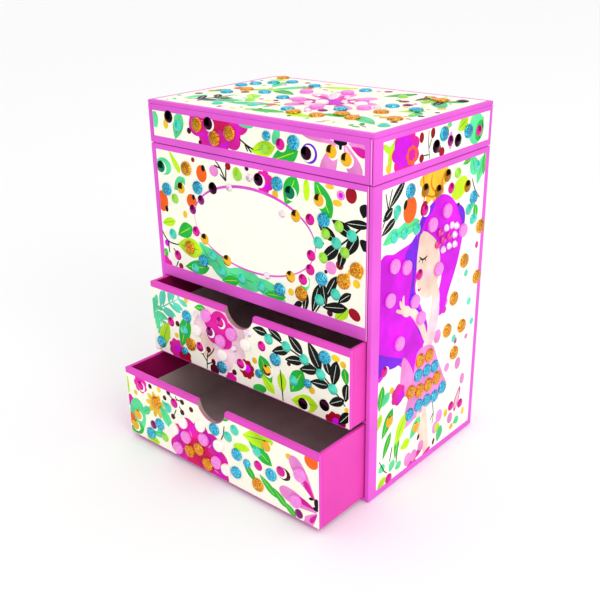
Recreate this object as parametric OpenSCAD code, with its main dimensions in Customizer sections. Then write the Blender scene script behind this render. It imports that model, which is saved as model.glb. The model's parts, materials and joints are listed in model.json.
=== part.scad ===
// Ballerina jewellery box: a wrapped board case with a hinged lid and two drawers, and a wind-up
// musical movement under the platform that turns the dancer. Millimetres, +Z up, front face at -Y.
// The origin is the middle of the case's underside. The drawers stand partly pulled out.

/* [Case] */
// Width of the case and of the lid
case_w = 150; // [146:1:154]
// Depth of the case and of the lid
case_d = 102; // [100:1:104]
// Height of the case without the lid
case_h = 166.8; // [165:0.1:168]
// Thickness of the wrapped wall boards
wall_t = 2.6; // [2.2:0.1:2.8]
// Thickness of the bottom, the shelves and the platform
shelf_t = 2; // [1.6:0.1:2]
// Height of the front panel's lower edge
front_z = 90.8; // [90.8:0.1:91]
// Height of the platform that the dancer stands on
platform_z = 128; // [128:0.1:130]
// Height of the walls of the ring tray
tray_wall_h = 20; // [12:1:24]

/* [Lid] */
// Gap between the case and the closed lid
lid_gap = 0.4; // [0.3:0.1:0.6]
// Height of the lid's rims
rim_h = 20.8; // [20.8:0.1:24]
// Thickness of the lid's top board
lid_top_t = 2; // [1.6:0.1:3]
// Width of the mirror
mirror_w = 110; // [80:1:120]
// Thickness of the mirror
mirror_t = 1.5; // [1:0.1:2]

/* [Drawers] */
// Height of one drawer
drawer_h = 42.6; // [42:0.1:42.6]
// Depth of one drawer
drawer_depth = 98.4; // [94:0.1:98.4]
// Thickness of a drawer's front board
drawer_front_t = 2.4; // [2:0.1:2.6]
// Thickness of a drawer's sides and back
drawer_side_t = 2; // [1.6:0.1:2.4]
// How far the upper drawer stands out
upper_pull = 11.8; // [0:0.1:60]
// How far the lower drawer stands out
lower_pull = 35.1; // [0:0.1:60]
// Radius of the finger notch
notch_r = 10.3; // [8:0.1:12]
// Sideways place of the finger notch
notch_x = -1.5; // [-3:0.1:3]

/* [Movement] */
// Sideways place of the winding shaft
key_x = 15; // [15:0.1:16]
// Height of the winding shaft
key_z = 108; // [108:0.1:108.4]
// Module of the gears
gear_m = 0.75; // [0.75:0.01:0.76]
// Share of the tooth pitch that a tooth fills
tooth_share = 0.43; // [0.38:0.01:0.45]
// Radius of the winding shaft
shaft_r = 2; // [1.8:0.1:2]

/* [Stickers] */
// Diameter of a teal glitter dot
teal_d = 7.2; // [6.8:0.1:7.2]
// Diameter of a gold glitter dot
gold_d = 7.8; // [7.4:0.1:7.8]
// Thickness of a glitter dot
glitter_t = 1.2; // [1:0.1:1.6]
// Thickness of a foam dot
foam_t = 1.6; // [1.3:0.1:2]

/* [Hidden] */
$fn = 48;
in_x = case_w / 2 - wall_t;
out_y = case_d / 2;
in_y = out_y - wall_t;
glue_gap = 0.2;

lid_z = case_h + lid_gap;
rim_top = lid_z + rim_h;

drawer_x = in_x - 0.7;
lower_z = shelf_t + 0.3;
divider_z = lower_z + drawer_h + 0.5;
upper_z = divider_z + shelf_t + 0.3;
drawer_floor_t = 1.6;
liner_t = 0.4;

// Shift of the dots on the lid's top to the right and to the front, and how much further forward
// a dot sits for each millimetre to the right
scatter_right = 1.2;
scatter_forward = 2;
scatter_turn = 0.025;

// Plan positions of the four upright arbors, and heights of the gear layers
drum_y = 26.1;
drum_r = 5.5;
drum_teeth = 32;
drum_pinion_teeth = 16;
dancer_pinion_teeth = 16;
idler_pinion_teeth = 10;
worm_wheel_teeth = 24;
crown_teeth = 30;
dancer_pos = [0, 16.15];
idler_angle = -20;
function pitch_r(teeth) = gear_m * teeth / 2;
idler_reach = pitch_r(drum_teeth + idler_pinion_teeth);
idler_pos = [key_x + idler_reach * cos(idler_angle), drum_y + idler_reach * sin(idler_angle)];
dancer_angle = atan2(dancer_pos[1] - drum_y, dancer_pos[0] - key_x);
top_gears_z = 121.5;
top_gears_t = 2;
worm_wheel_z = 117;
worm_wheel_t = 2.2;
worm_r = 2.4;
worm_x = idler_pos[0] + pitch_r(worm_wheel_teeth) + worm_r;
worm_z = worm_wheel_z + worm_wheel_t / 2;
lead = PI * gear_m;
lower_plate_z = 93.2;
plate_t = 1.4;
upper_plate_z = 124;
bedplate_y = 45.4;
barrel_y = 34.9;
barrel_t = 10;
barrel_r = 13;
run = 0.05;

dancer_foot_z = 131;

PINK = "orchid";
BOARD = "ivory";
DEEP = "deeppink";

// ---------------------------------------------------------------- helpers

// A box between the given limits on each axis
module slab(x, y, z)
  translate([x[0], y[0], z[0]]) cube([x[1] - x[0], y[1] - y[0], z[1] - z[0]]);

// A cylinder along +Y from y, through (x, z)
module y_rod(r, x, z, y)
  translate([x, y[0], z]) rotate([-90, 0, 0]) cylinder(r = r, h = y[1] - y[0]);

module z_rod(r, at, z)
  translate([at[0], at[1], z[0]]) cylinder(r = r, h = z[1] - z[0]);

module both_sides() {
  children();
  mirror([1, 0, 0]) children();
}

// ---------------------------------------------------------------- case

module left_panel()
  color(PINK) slab([-case_w / 2, -in_x], [-out_y, out_y], [0, case_h]);

module right_panel()
  color(PINK) slab([in_x, case_w / 2], [-out_y, out_y], [0, case_h]);

module base_panel()
  color(PINK) slab([-in_x, in_x], [-out_y, out_y], [0, shelf_t]);

key_hole_r = 3.5;
movement_screw_r = 1.2;
movement_screw_places = [for (x = [-10, 44]) for (z = [97.5, 121]) [x, z]];

module back_panel()
  color(PINK) difference() {
    slab([-in_x, in_x], [in_y, out_y], [shelf_t, case_h]);
    y_rod(key_hole_r, key_x, key_z, [in_y - 1, out_y + 1]);
    for (p = movement_screw_places) y_rod(movement_screw_r + run, p[0], p[1], [in_y - 1, out_y + 1]);
  }

module front_panel()
  color(BOARD) slab([-in_x, in_x], [-out_y, -in_y], [front_z, case_h]);

module compartment_floor()
  color(DEEP) slab([-in_x, in_x], [-in_y, in_y], [front_z, front_z + shelf_t]);

divider_setback = 0.5;
module drawer_divider()
  color(DEEP) slab([-in_x, in_x], [-out_y + divider_setback, in_y], [divider_z, divider_z + shelf_t]);

bush_r = 3;
bush_flange_r = 4;
rod_pos = [worm_x, 36.5];
spindle_r = 1;

module platform()
  color(DEEP) difference() {
    slab([-in_x + glue_gap, in_x - glue_gap], [-in_y + glue_gap, in_y - glue_gap],
      [platform_z - shelf_t, platform_z]);
    z_rod(spindle_r + run, dancer_pos, [platform_z - 5, platform_z + 1]);
    z_rod(bush_r + run, rod_pos, [platform_z - 5, platform_z + 1]);
  }

cleat_w = 4;
cleat_h = 6;
module platform_cleats()
  color("burlywood") both_sides()
    slab([in_x - cleat_w, in_x], [-46, 46], [platform_z - shelf_t - cleat_h, platform_z - shelf_t]);

tray_y = -14;
partition_t = 1.6;
cross_wall_x = -2;
module tray_partition()
  color(DEEP) {
    slab([-in_x + glue_gap, in_x - glue_gap], [tray_y - partition_t, tray_y],
      [platform_z, platform_z + tray_wall_h]);
    slab([cross_wall_x - partition_t / 2, cross_wall_x + partition_t / 2],
      [-in_y + glue_gap, tray_y - partition_t], [platform_z, platform_z + tray_wall_h]);
  }

roll_r = 3.8;
roll_gap = 0.3;
roll_count = 4;
module ring_rolls()
  color("hotpink") for (i = [0 : roll_count - 1])
    translate([-in_x + 1, -in_y + 1 + roll_r + i * (2 * roll_r + roll_gap), platform_z + roll_gap + roll_r])
      rotate([0, 90, 0]) cylinder(r = roll_r, h = in_x + cross_wall_x - partition_t / 2 - 2);

rod_r = 1;
module rod_bush()
  color("goldenrod") difference() {
    union() {
      z_rod(bush_r, rod_pos, [platform_z - shelf_t, platform_z + 1.2]);
      z_rod(bush_flange_r, rod_pos, [platform_z, platform_z + 1.2]);
    }
    z_rod(rod_r + run, rod_pos, [platform_z - 5, platform_z + 5]);
  }

cloth_t = 0.4;
cloth_w = 11;
cloth_x = 70;
module hinge_cloth_case()
  color(PINK) slab([-cloth_x, cloth_x], [out_y, out_y + cloth_t], [case_h - 0.8 - cloth_w, case_h - 0.8]);

module hinge_cloth_lid()
  color(PINK) slab([-cloth_x, cloth_x], [out_y, out_y + cloth_t], [lid_z + 0.8, lid_z + 0.8 + cloth_w]);

module key_grommet()
  color("gold") difference() {
    y_rod(6, key_x, key_z, [out_y, out_y + 0.8]);
    y_rod(key_hole_r, key_x, key_z, [out_y - 1, out_y + 2]);
  }

// ---------------------------------------------------------------- lid

module lid_top_board()
  color(BOARD) slab([-case_w / 2, case_w / 2], [-out_y, out_y], [rim_top, rim_top + lid_top_t]);

module lid_front_rim()
  color(PINK) slab([-in_x, in_x], [-out_y, -in_y], [lid_z, rim_top]);

module lid_back_rim()
  color(PINK) slab([-in_x, in_x], [in_y, out_y], [lid_z, rim_top]);

module lid_side_rims()
  color(PINK) both_sides() slab([in_x, case_w / 2], [-out_y, out_y], [lid_z, rim_top]);

mirror_y = [-35, 33];
module lid_mirror()
  color("lightsteelblue") slab([-mirror_w / 2, mirror_w / 2], mirror_y, [rim_top - mirror_t, rim_top]);

// ---------------------------------------------------------------- drawers

// Each drawer piece is made at its closed place, with its bottom at z
drawer_back_y = -out_y + drawer_depth;

module drawer_front_board(z)
  difference() {
    slab([-drawer_x, drawer_x], [-out_y, -out_y + drawer_front_t], [z, z + drawer_h]);
    y_rod(notch_r, notch_x, z + drawer_h + 0.6, [-out_y - 1, -out_y + drawer_front_t + 1]);
  }

module drawer_side_boards(z)
  both_sides() slab([drawer_x - drawer_side_t, drawer_x],
    [-out_y + drawer_front_t, drawer_back_y - drawer_side_t], [z, z + drawer_h]);

module drawer_back_board(z)
  slab([-drawer_x, drawer_x], [drawer_back_y - drawer_side_t, drawer_back_y], [z, z + drawer_h]);

module drawer_floor_board(z, lift, t)
  slab([-drawer_x + drawer_side_t, drawer_x - drawer_side_t],
    [-out_y + drawer_front_t, drawer_back_y - drawer_side_t], [z + lift, z + lift + t]);

module upper() translate([0, -upper_pull, 0]) children();
module lower() translate([0, -lower_pull, 0]) children();

module upper_drawer_front() color(BOARD) upper() drawer_front_board(upper_z);
module upper_drawer_sides() color(DEEP) upper() drawer_side_boards(upper_z);
module upper_drawer_back() color(DEEP) upper() drawer_back_board(upper_z);
module upper_drawer_floor() color(DEEP) upper() drawer_floor_board(upper_z, 0, drawer_floor_t);
module upper_drawer_liner() color("gray") upper() drawer_floor_board(upper_z, drawer_floor_t, liner_t);
module lower_drawer_front() color(BOARD) lower() drawer_front_board(lower_z);
module lower_drawer_sides() color(DEEP) lower() drawer_side_boards(lower_z);
module lower_drawer_back() color(DEEP) lower() drawer_back_board(lower_z);
module lower_drawer_floor() color(DEEP) lower() drawer_floor_board(lower_z, 0, drawer_floor_t);
module lower_drawer_liner() color("gray") lower() drawer_floor_board(lower_z, drawer_floor_t, liner_t);

// ---------------------------------------------------------------- stickers

// Kinds of stick-on dot: diameter, thickness, colour
TEAL = [teal_d, glitter_t, "darkturquoise"];
GOLD = [gold_d, glitter_t, "goldenrod"];
TEAL_SMALL = [4.9, glitter_t, "darkturquoise"];
MINT = [6.1, 1.4, "aquamarine"];
LIME = [5.6, 1.4, "chartreuse"];
ROSE = [7.4, foam_t, "violet"];
CREAM = [6.9, foam_t, "ivory"];
MAGENTA = [5.8, 1, "mediumvioletred"];
BRASSY = [6.4, 0.8, "gold"];
NIGHT = [6.6, 0.8, "midnightblue"];
PLUM = [5.4, 0.8, "purple"];
GEM = [4.2, foam_t, "mistyrose"];

module dots(kind, places)
  color(kind[2]) for (p = places) translate([p[0], p[1], 0]) cylinder(d = kind[0], h = kind[1]);

// The four faces that carry stickers: each takes places as [sideways, upwards]
module on_front(y) translate([0, y, 0]) rotate([90, 0, 0]) children();
module on_right() translate([case_w / 2, 0, 0]) rotate([90, 0, 90]) children();
module on_left() translate([-case_w / 2, 0, 0]) rotate([90, 0, -90]) children();
module on_top() translate([0, 0, rim_top + lid_top_t]) children();

module front_stickers()
  on_front(-out_y) {
    dots(TEAL, [[-64.5, 142.5], [-39.5, 147.5], [17.5, 159], [46.5, 146.5], [45, 116.5],
      [-38.5, 106.5], [17.5, 104]]);
    dots(GOLD, [[-47.5, 156.5], [-49, 112], [58.5, 118.5], [66.2, 126], [32, 105.5]]);
    dots(MINT, [[54, 136.5], [63, 142], [43, 134.5], [43.5, 105], [53.5, 110.5], [-62.5, 117],
      [-31, 111], [-24.5, 103.5], [-9.5, 103], [4.5, 102], [-45.5, 100.5]]);
    dots(LIME, [[55.5, 145], [47.5, 139.8], [59, 133], [46, 127.5], [-9, 159], [-58.5, 138]]);
    dots(MAGENTA, [[38.5, 127], [33, 113.2], [-59.5, 105], [-43, 122.5], [38, 145], [37.8, 119.5]]);
    dots(BRASSY, [[-53, 145], [-36.5, 119.5], [-20, 111], [25, 112.8], [29, 145], [43.5, 155.5]]);
    dots(NIGHT, [[-28, 149], [-68.2, 154.5], [5, 159], [25.5, 156]]);
    dots(PLUM, [[-37.5, 141], [-44.5, 134.5]]);
    dots(GEM, [[-15.5, 151.5], [20.5, 144.5], [-1, 159], [9, 109.5]]);
  }

module upper_drawer_stickers()
  upper() on_front(-out_y) {
    dots(TEAL, [[-42, 76.5], [24, 71], [56.5, 82.5], [-65.5, 54], [-16, 53.5]]);
    dots(TEAL_SMALL, [[45.5, 64.5], [12, 59], [-45.5, 54]]);
    dots(GOLD, [[-40, 60]]);
    dots(MINT, [[19.5, 81], [31.5, 80.5], [43.2, 77], [53.7, 72.3], [61.2, 66.8], [36, 62.8], [-45, 67]]);
    dots(ROSE, [[-26, 81.5], [-7, 76], [-15.5, 69.5]]);
    dots(CREAM, [[-14.5, 61.5], [3.3, 73], [-34.2, 70.5]]);
    dots(MAGENTA, [[14.5, 75.5], [-1.5, 60.3], [-33, 60.5], [-56, 69.2], [-15.8, 80.3]]);
    dots(BRASSY, [[17.5, 62.6]]);
    dots(NIGHT, [[42, 51.8], [56, 56]]);
    dots(PLUM, [[-24.3, 72.4]]);
    dots(GEM, [[-34, 80], [-5.5, 68], [5.5, 80]]);
  }

module lower_drawer_stickers()
  lower() on_front(-out_y) {
    dots(TEAL, [[0.5, 31.8], [16.5, 23], [40.5, 21], [15.5, 11.5], [-44.5, 17.5], [-53, 8.5]]);
    dots(TEAL_SMALL, [[23.8, 20.5]]);
    dots(GOLD, [[-46, 31], [-20.3, 10], [-12.8, 14.2], [-6.3, 7.4], [31, 10.8]]);
    dots(MINT, [[15.5, 37], [10.3, 31], [31, 30.5], [-36.5, 31]]);
    dots(LIME, [[-41, 10.2]]);
    dots(ROSE, [[-22.2, 18.1], [-8, 22.2], [1, 11.6], [-29.6, 8.3], [60, 29.5], [57, 13]]);
    dots(CREAM, [[-24, 26.5], [-10, 29.8], [3.3, 23], [8.3, 10.3], [-31.7, 19.6]]);
    dots(MAGENTA, [[-59.3, 37], [31.5, 22.4], [47, 25.7], [-30.7, 36]]);
    dots(BRASSY, [[37.5, 36.5], [-64, 16.5], [-67.3, 8.6]]);
    dots(PLUM, [[-50.5, 14.8], [58.5, 5.8]]);
  }

module lid_front_stickers()
  on_front(-out_y) {
    dots(GOLD, [[-37, 181], [-24.5, 175.5], [-13.5, 179.5]]);
    dots(TEAL, [[28.5, 180.5]]);
    dots(TEAL_SMALL, [[11.5, 181.5]]);
    dots(NIGHT, [[-59, 182.5], [-29, 182.5], [36, 176.5]]);
    dots(MINT, [[-52, 178.5]]);
    dots(LIME, [[9.5, 175]]);
    dots(MAGENTA, [[20, 178.5]]);
    dots(BRASSY, [[51, 179.5], [59.5, 177]]);
  }

// The scatter on the lid's top lies a little askew: the dots sit further forward towards the right
function askew(points) =
  [for (p = points) [p.x + scatter_right, p.y - scatter_forward - scatter_turn * p.x]];

module lid_top_stickers()
  on_top() {
    dots(TEAL, askew([[-50, 37], [-57.5, 29], [-64, 20.5], [-67, 11.5], [-57, -10], [-39, 2], [-19.5, -4.5],
      [-30, 34], [3, 39], [4.5, -27], [42, 10], [57, 9], [26, -11.5]]));
    dots(GOLD, askew([[-54, 3], [12, -31], [26.5, -30.5], [34, -20.5], [44, -25], [46.5, -5.5], [61.5, -15],
      [53, 38], [-65.5, 46]]));
    dots(ROSE, askew([[-20, 15.5], [-7, -5.5], [0.5, 26], [22, 11.5], [34.5, -3.5], [14, -16]]));
    dots(CREAM, askew([[8, -4.5], [27.5, 3]]));
    dots(GEM, askew([[5, 7], [-8, 11], [17, 3], [10, 14], [4.5, -11.5], [38.5, 2], [-1, 15.5], [16, -25]]));
    dots(NIGHT, askew([[62, 44]]));
    dots(PLUM, askew([[20.5, -18.8], [46, 17.5]]));
    dots(MINT, askew([[-18, -29], [-36, -37], [66, -30]]));
    dots(LIME, askew([[-29, -20], [31, 35]]));
  }

// The right face carries the picture of a dancer in a tiered skirt of glitter dots
module right_stickers()
  on_right() {
    dots(GOLD, [[-8, 65.2], [0.6, 64.8], [-15.6, 49.8], [-7.4, 47.2], [1, 47.2], [9.2, 48],
      [45.5, 124.5], [31, 109], [45.5, 95.5], [22.5, 90], [17.5, 73], [32.5, 70.5], [26, 56.5]]);
    dots(TEAL, [[-9.2, 57], [-1.2, 56.6], [6.5, 56], [-16, 36.6], [-7.8, 38.4], [0, 38.2],
      [7.7, 37.4], [15.4, 39.4], [-22.5, 159], [36.5, 142.5]]);
    dots(ROSE, [[-34, 125], [-24, 121.5], [-2.5, 137.5], [10.5, 141.5], [27, 127], [-37, 108.5],
      [-15.5, 101], [5, 112], [-28, 82.5], [-9.5, 90]]);
    dots(GEM, [[8, 127], [13.5, 127.5], [10.5, 132.5], [5, 131.5], [3, 125.5], [8.5, 121.5],
      [14, 122], [19.5, 121.5], [19, 126.8], [16, 132.6], [20.5, 131.2]]);
    dots(NIGHT, [[-9.5, 156.5], [10.2, 159.5], [2.3, 153.3], [30, 149.8]]);
    dots(MAGENTA, [[-9, 146.5], [-39.8, 71.2], [36.5, 20]]);
    dots(MINT, [[-32.5, 151.5], [-34, 139.2], [-25.8, 139], [-15.8, 138.6], [32.5, 136.8], [37.5, 130.5],
      [38, 159]]);
    dots(LIME, [[19.8, 158.7]]);
    dots(BRASSY, [[-34, 40.5], [-9, 25.5]]);
    dots(PLUM, [[14, 152.3], [-33.5, 5.8], [26.5, 22.5], [-11.6, 114]]);
  }

// The left face continues the flower pattern
module left_stickers()
  on_left() {
    dots(TEAL, [[-34, 146], [12, 152], [38, 118], [-20, 96], [30, 66], [-36, 44], [4, 22]]);
    dots(GOLD, [[-14, 138], [28, 142], [-38, 112], [16, 94], [-12, 62], [36, 34], [-28, 16]]);
    dots(MINT, [[-2, 148], [20, 126], [-26, 124], [40, 92], [-2, 80], [-40, 70], [18, 48], [-10, 34]]);
    dots(ROSE, [[-4, 118.5], [3.5, 111], [-4, 103.5], [-11.5, 111], [22, 20], [30, 14]]);
    dots(CREAM, [[-4, 111], [40, 156]]);
    dots(MAGENTA, [[26, 108], [-32, 84], [8, 66], [40, 52], [-18, 46], [-42, 134]]);
    dots(BRASSY, [[-24, 156], [36, 130], [28, 82], [-40, 24]]);
    dots(NIGHT, [[10, 134], [-26, 104], [22, 38], [6, 8]]);
    dots(LIME, [[-42, 98], [12, 82], [-30, 58], [40, 16]]);
  }

module lid_side_stickers() {
  on_right() {
    dots(TEAL, [[4.5, 181], [27, 178.5]]);
    dots(NIGHT, [[-1.5, 176], [18, 175.5]]);
    dots(MAGENTA, [[38, 177]]);
    dots(PLUM, [[11, 176.5]]);
  }
  on_left() {
    dots(TEAL, [[-36, 178], [14, 180]]);
    dots(GOLD, [[-20, 177], [36, 178]]);
    dots(MAGENTA, [[-4, 180]]);
    dots(NIGHT, [[26, 176]]);
  }
}

// ---------------------------------------------------------------- gears

// Involute teeth, 25 degrees of pressure angle, stub addendum
pressure = 25;
addendum = 0.8;
dedendum = 1.05;
function inv(a) = tan(a) * 180 / PI - a;
function base_r(teeth) = pitch_r(teeth) * cos(pressure);
function half_tooth(teeth, r) = 180 * tooth_share / teeth + inv(pressure)
  - inv(r > base_r(teeth) ? acos(base_r(teeth) / r) : 0);
function flank_radii(teeth) = let (root = pitch_r(teeth) - dedendum * gear_m,
    tip = pitch_r(teeth) + addendum * gear_m, start = max(root + 0.1, base_r(teeth)))
  [root, start, (start + tip) / 2, tip];
function polar(r, a) = [r * cos(a), r * sin(a)];

// How far to turn a gear so that it meshes, when its partner lies at angle from the other gear
function mesh_phase(angle, teeth_a, phase_a, teeth_b) =
  let (pitches = (angle - phase_a) * teeth_a / 360)
  angle + 180 + (pitches - floor(pitches) + 0.5) * 360 / teeth_b;

module gear_outline(teeth, phase) {
  radii = flank_radii(teeth);
  polygon([for (i = [0 : teeth - 1])
    for (side = [-1, 1])
      for (k = [0 : 3])
        let (r = radii[side < 0 ? k : 3 - k])
        polar(r, phase + i * 360 / teeth + side * half_tooth(teeth, r))]);
}

module gear(teeth, phase, at, z, t, bore)
  translate([at[0], at[1], z]) linear_extrude(t) difference() {
    gear_outline(teeth, phase);
    circle(r = bore);
  }

module hub(r, at, z, bore)
  translate([at[0], at[1], z[0]]) linear_extrude(z[1] - z[0]) difference() {
    circle(r = r);
    circle(r = bore);
  }

// ---------------------------------------------------------------- movement frame

arbor_r = 1.2;
idler_arbor_r = 0.8;
drum_pos = [key_x, drum_y];
pillar_places = [[-10, 12], [key_x + 3, 10.5]];
pillar_r = 2;
bridge_screw_r = 0.8;
bridge_x = [-14, 36];
bridge_y = [8, bedplate_y];

module arbor_bores(z) {
  z_rod(arbor_r + run, drum_pos, z);
  z_rod(spindle_r + run, dancer_pos, z);
  z_rod(idler_arbor_r + run, idler_pos, z);
}

comb_screw_places = [[-8.5, 102], [-8.5, 114]];
comb_y = drum_y - 0.8;
comb_t = 1.6;
comb_screw_r = 1;

// The vertical bedplate is bolted to the back, and carries the lower bearing plate,
// two pillars and the block that the comb is screwed to
module movement_bedplate()
  color("silver") difference() {
    union() {
      slab([-14, 48], [bedplate_y, in_y], [lower_plate_z, upper_plate_z + plate_t]);
      slab([-14, 48], [bridge_y[0], bedplate_y], [lower_plate_z, lower_plate_z + plate_t]);
      for (p = pillar_places) z_rod(pillar_r, p, [lower_plate_z + plate_t, upper_plate_z]);
      slab([-12, -5], [comb_y + comb_t, bedplate_y], [98, 118]);
    }
    y_rod(shaft_r + run, key_x, key_z, [bedplate_y - 1, in_y + 1]);
    for (p = movement_screw_places) y_rod(movement_screw_r, p[0], p[1], [bedplate_y + 1, in_y + 1]);
    arbor_bores([lower_plate_z - 1, lower_plate_z + plate_t + 1]);
    for (p = pillar_places) z_rod(bridge_screw_r, p, [upper_plate_z - 6, upper_plate_z + 1]);
    for (p = comb_screw_places) y_rod(comb_screw_r, p[0], p[1], [comb_y, comb_y + comb_t + 6]);
  }

module upper_bridge()
  color("silver") difference() {
    slab(bridge_x, bridge_y, [upper_plate_z, upper_plate_z + plate_t]);
    arbor_bores([upper_plate_z - 1, upper_plate_z + plate_t + 1]);
    for (p = pillar_places) z_rod(bridge_screw_r, p, [upper_plate_z - 1, upper_plate_z + plate_t + 1]);
  }

module bridge_screws()
  color("gray") for (p = pillar_places) {
    z_rod(bridge_screw_r, p, [upper_plate_z - 6, upper_plate_z + plate_t]);
    z_rod(1.8, p, [upper_plate_z + plate_t, upper_plate_z + plate_t + 0.4]);
  }

module movement_screws()
  color("gray") for (p = movement_screw_places) {
    y_rod(movement_screw_r, p[0], p[1], [bedplate_y + 1, out_y]);
    difference() {
      y_rod(2.4, p[0], p[1], [out_y, out_y + 1.2]);
      slab([p[0] - 3, p[0] + 3], [out_y + 0.7, out_y + 2], [p[1] - 0.3, p[1] + 0.3]);
    }
  }

tooth_count = 16;
comb_z = 100;
comb_tip_x = key_x - 6.2;
module comb()
  color("lightgray") difference() {
    slab([-12, comb_tip_x], [comb_y, comb_y + comb_t], [comb_z, comb_z + tooth_count]);
    for (i = [1 : tooth_count - 1])
      slab([-3.5, comb_tip_x + 1], [comb_y - 1, comb_y + comb_t + 1],
        [comb_z + i - 0.12, comb_z + i + 0.12]);
    for (p = comb_screw_places) y_rod(comb_screw_r, p[0], p[1], [comb_y - 1, comb_y + comb_t + 1]);
  }

module comb_screws()
  color("gray") for (p = comb_screw_places) {
    y_rod(comb_screw_r, p[0], p[1], [comb_y, comb_y + comb_t + 6]);
    y_rod(2, p[0], p[1], [comb_y - 1.2, comb_y]);
  }

governor_x = [worm_x - 4.8, worm_x + 4.8];
governor_shaft_r = 0.7;
bracket_z = 104;
front_upright_y = [10, 12.5];
rear_upright_y = [38.9, 40.9];
module governor_bracket()
  color("silver") difference() {
    union() {
      slab(governor_x, [front_upright_y[0], bedplate_y], [bracket_z, bracket_z + plate_t]);
      for (y = [front_upright_y, rear_upright_y]) slab(governor_x, y, [bracket_z, worm_z + 3]);
    }
    y_rod(governor_shaft_r + run, worm_x, worm_z, [front_upright_y[0] - 1, rear_upright_y[1] + 1]);
  }

// ---------------------------------------------------------------- spring barrel and key

crown_r = [10.25, 12.25];
crown_tooth_t = 0.6;
crown_y = 3.6;
crown_back = 2;
module spring_barrel()
  color("goldenrod") translate([key_x, barrel_y, key_z]) rotate([-90, 0, 0]) {
    difference() {
      union() {
        cylinder(r = barrel_r, h = barrel_t);
        translate([0, 0, -crown_back]) difference() {
          cylinder(r = crown_r[1], h = crown_back);
          translate([0, 0, -1]) cylinder(r = crown_r[0], h = crown_back + 1);
        }
      }
      translate([0, 0, plate_t]) cylinder(r = barrel_r - plate_t, h = barrel_t);
      translate([0, 0, -5]) cylinder(r = shaft_r + run, h = barrel_t + 10);
    }
    for (i = [0 : crown_teeth - 1])
      rotate((i + 0.5) * 360 / crown_teeth + 90)
        translate([crown_r[0], -crown_tooth_t / 2, -crown_y])
          cube([crown_r[1] - crown_r[0], crown_tooth_t, crown_y - crown_back + 0.01]);
  }

module barrel_cover()
  color("gold") translate([key_x, barrel_y + barrel_t - plate_t, key_z]) rotate([-90, 0, 0])
    hub(barrel_r - plate_t - run, [0, 0], [0, plate_t], shaft_r + run);

// A flat spiral strip: the inner edge runs out, and the outer edge runs back
spiral_turns = 6;
spiral_steps = 16;
spiral_t = 0.5;
spiral_start = 3;
spiral_pitch = 1.3;
function spiral(i, offset) = polar(spiral_start + offset + spiral_pitch * i / spiral_steps,
  i * 360 / spiral_steps);
module mainspring() {
  last = spiral_turns * spiral_steps;
  color("slategray") translate([key_x, barrel_y + plate_t + 0.4, key_z]) rotate([-90, 0, 0])
    linear_extrude(barrel_t - 2 * plate_t - 0.8)
      polygon(concat([for (i = [0 : last]) spiral(i, 0)],
        [for (i = [last : -1 : 0]) spiral(i, spiral_t)]));
}

key_y = [56, 60];
module winding_shaft()
  color("silver") y_rod(shaft_r, key_x, key_z, [barrel_y - 1.6, key_y[1] - 1]);

// Butterfly key: a hub with a flat pierced wing on each side
wing_t = 2;
wing_y = 6;
module winding_key()
  color("gold") translate([key_x, key_y[0] - 2, key_z]) {
    rotate([-90, 0, 0]) difference() {
      cylinder(r = 3.6, h = key_y[1] - key_y[0] + 4);
      translate([0, 0, -1]) cylinder(r = shaft_r, h = key_y[1] - key_y[0] + 2);
    }
    for (side = [-1, 1])
      translate([0, 0, -wing_t / 2]) linear_extrude(wing_t) difference() {
        union() {
          translate([side * 8.5, wing_y]) circle(r = 5);
          translate([side < 0 ? -8.5 : 3, wing_y - 3]) square([5.5, 6]);
        }
        translate([side * 8.8, wing_y]) circle(r = 2);
      }
  }

// ---------------------------------------------------------------- drum, idler and governor

drum_z = comb_z;
pin_r = 0.25;
pin_h = 0.5;
pins_per_track = 3;
golden_turn = 137.5;
module drum()
  color("gold") difference() {
    union() {
      z_rod(drum_r, drum_pos, [drum_z, drum_z + tooth_count]);
      for (track = [0 : tooth_count - 1])
        for (i = [0 : pins_per_track - 1])
          translate([drum_pos[0], drum_pos[1], drum_z + track + 0.5])
            rotate([0, 0, golden_turn * (track * pins_per_track + i)])
              rotate([0, 90, 0]) cylinder(r = pin_r, h = drum_r + pin_h, $fn = 16);
    }
    z_rod(arbor_r, drum_pos, [drum_z - 1, drum_z + tooth_count + 1]);
  }

drum_pinion_z = 95.6;
drum_pinion_t = 2.3;
module drum_gears()
  color("gold") {
    gear(drum_pinion_teeth, 90, drum_pos, drum_pinion_z, drum_pinion_t, 0);
    gear(drum_teeth, 0, drum_pos, top_gears_z, top_gears_t, 0);
    z_rod(arbor_r, drum_pos, [lower_plate_z + 0.2, upper_plate_z + plate_t - 0.2]);
    hub(3, drum_pos, [drum_pinion_z + drum_pinion_t, drum_z], 0.5);
    hub(3, drum_pos, [drum_z + tooth_count, top_gears_z], 0.5);
  }

module idler_wheel()
  color("gold") {
    gear(worm_wheel_teeth, 0, idler_pos, worm_wheel_z, worm_wheel_t, 0);
    z_rod(2, idler_pos, [worm_wheel_z + worm_wheel_t, top_gears_z]);
    gear(idler_pinion_teeth, mesh_phase(idler_angle, drum_teeth, 0, idler_pinion_teeth),
      idler_pos, top_gears_z, top_gears_t, 0);
    z_rod(idler_arbor_r, idler_pos, [lower_plate_z + 0.2, worm_wheel_z]);
    z_rod(idler_arbor_r, idler_pos, [top_gears_z + top_gears_t, upper_plate_z + plate_t - 0.2]);
  }

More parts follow.
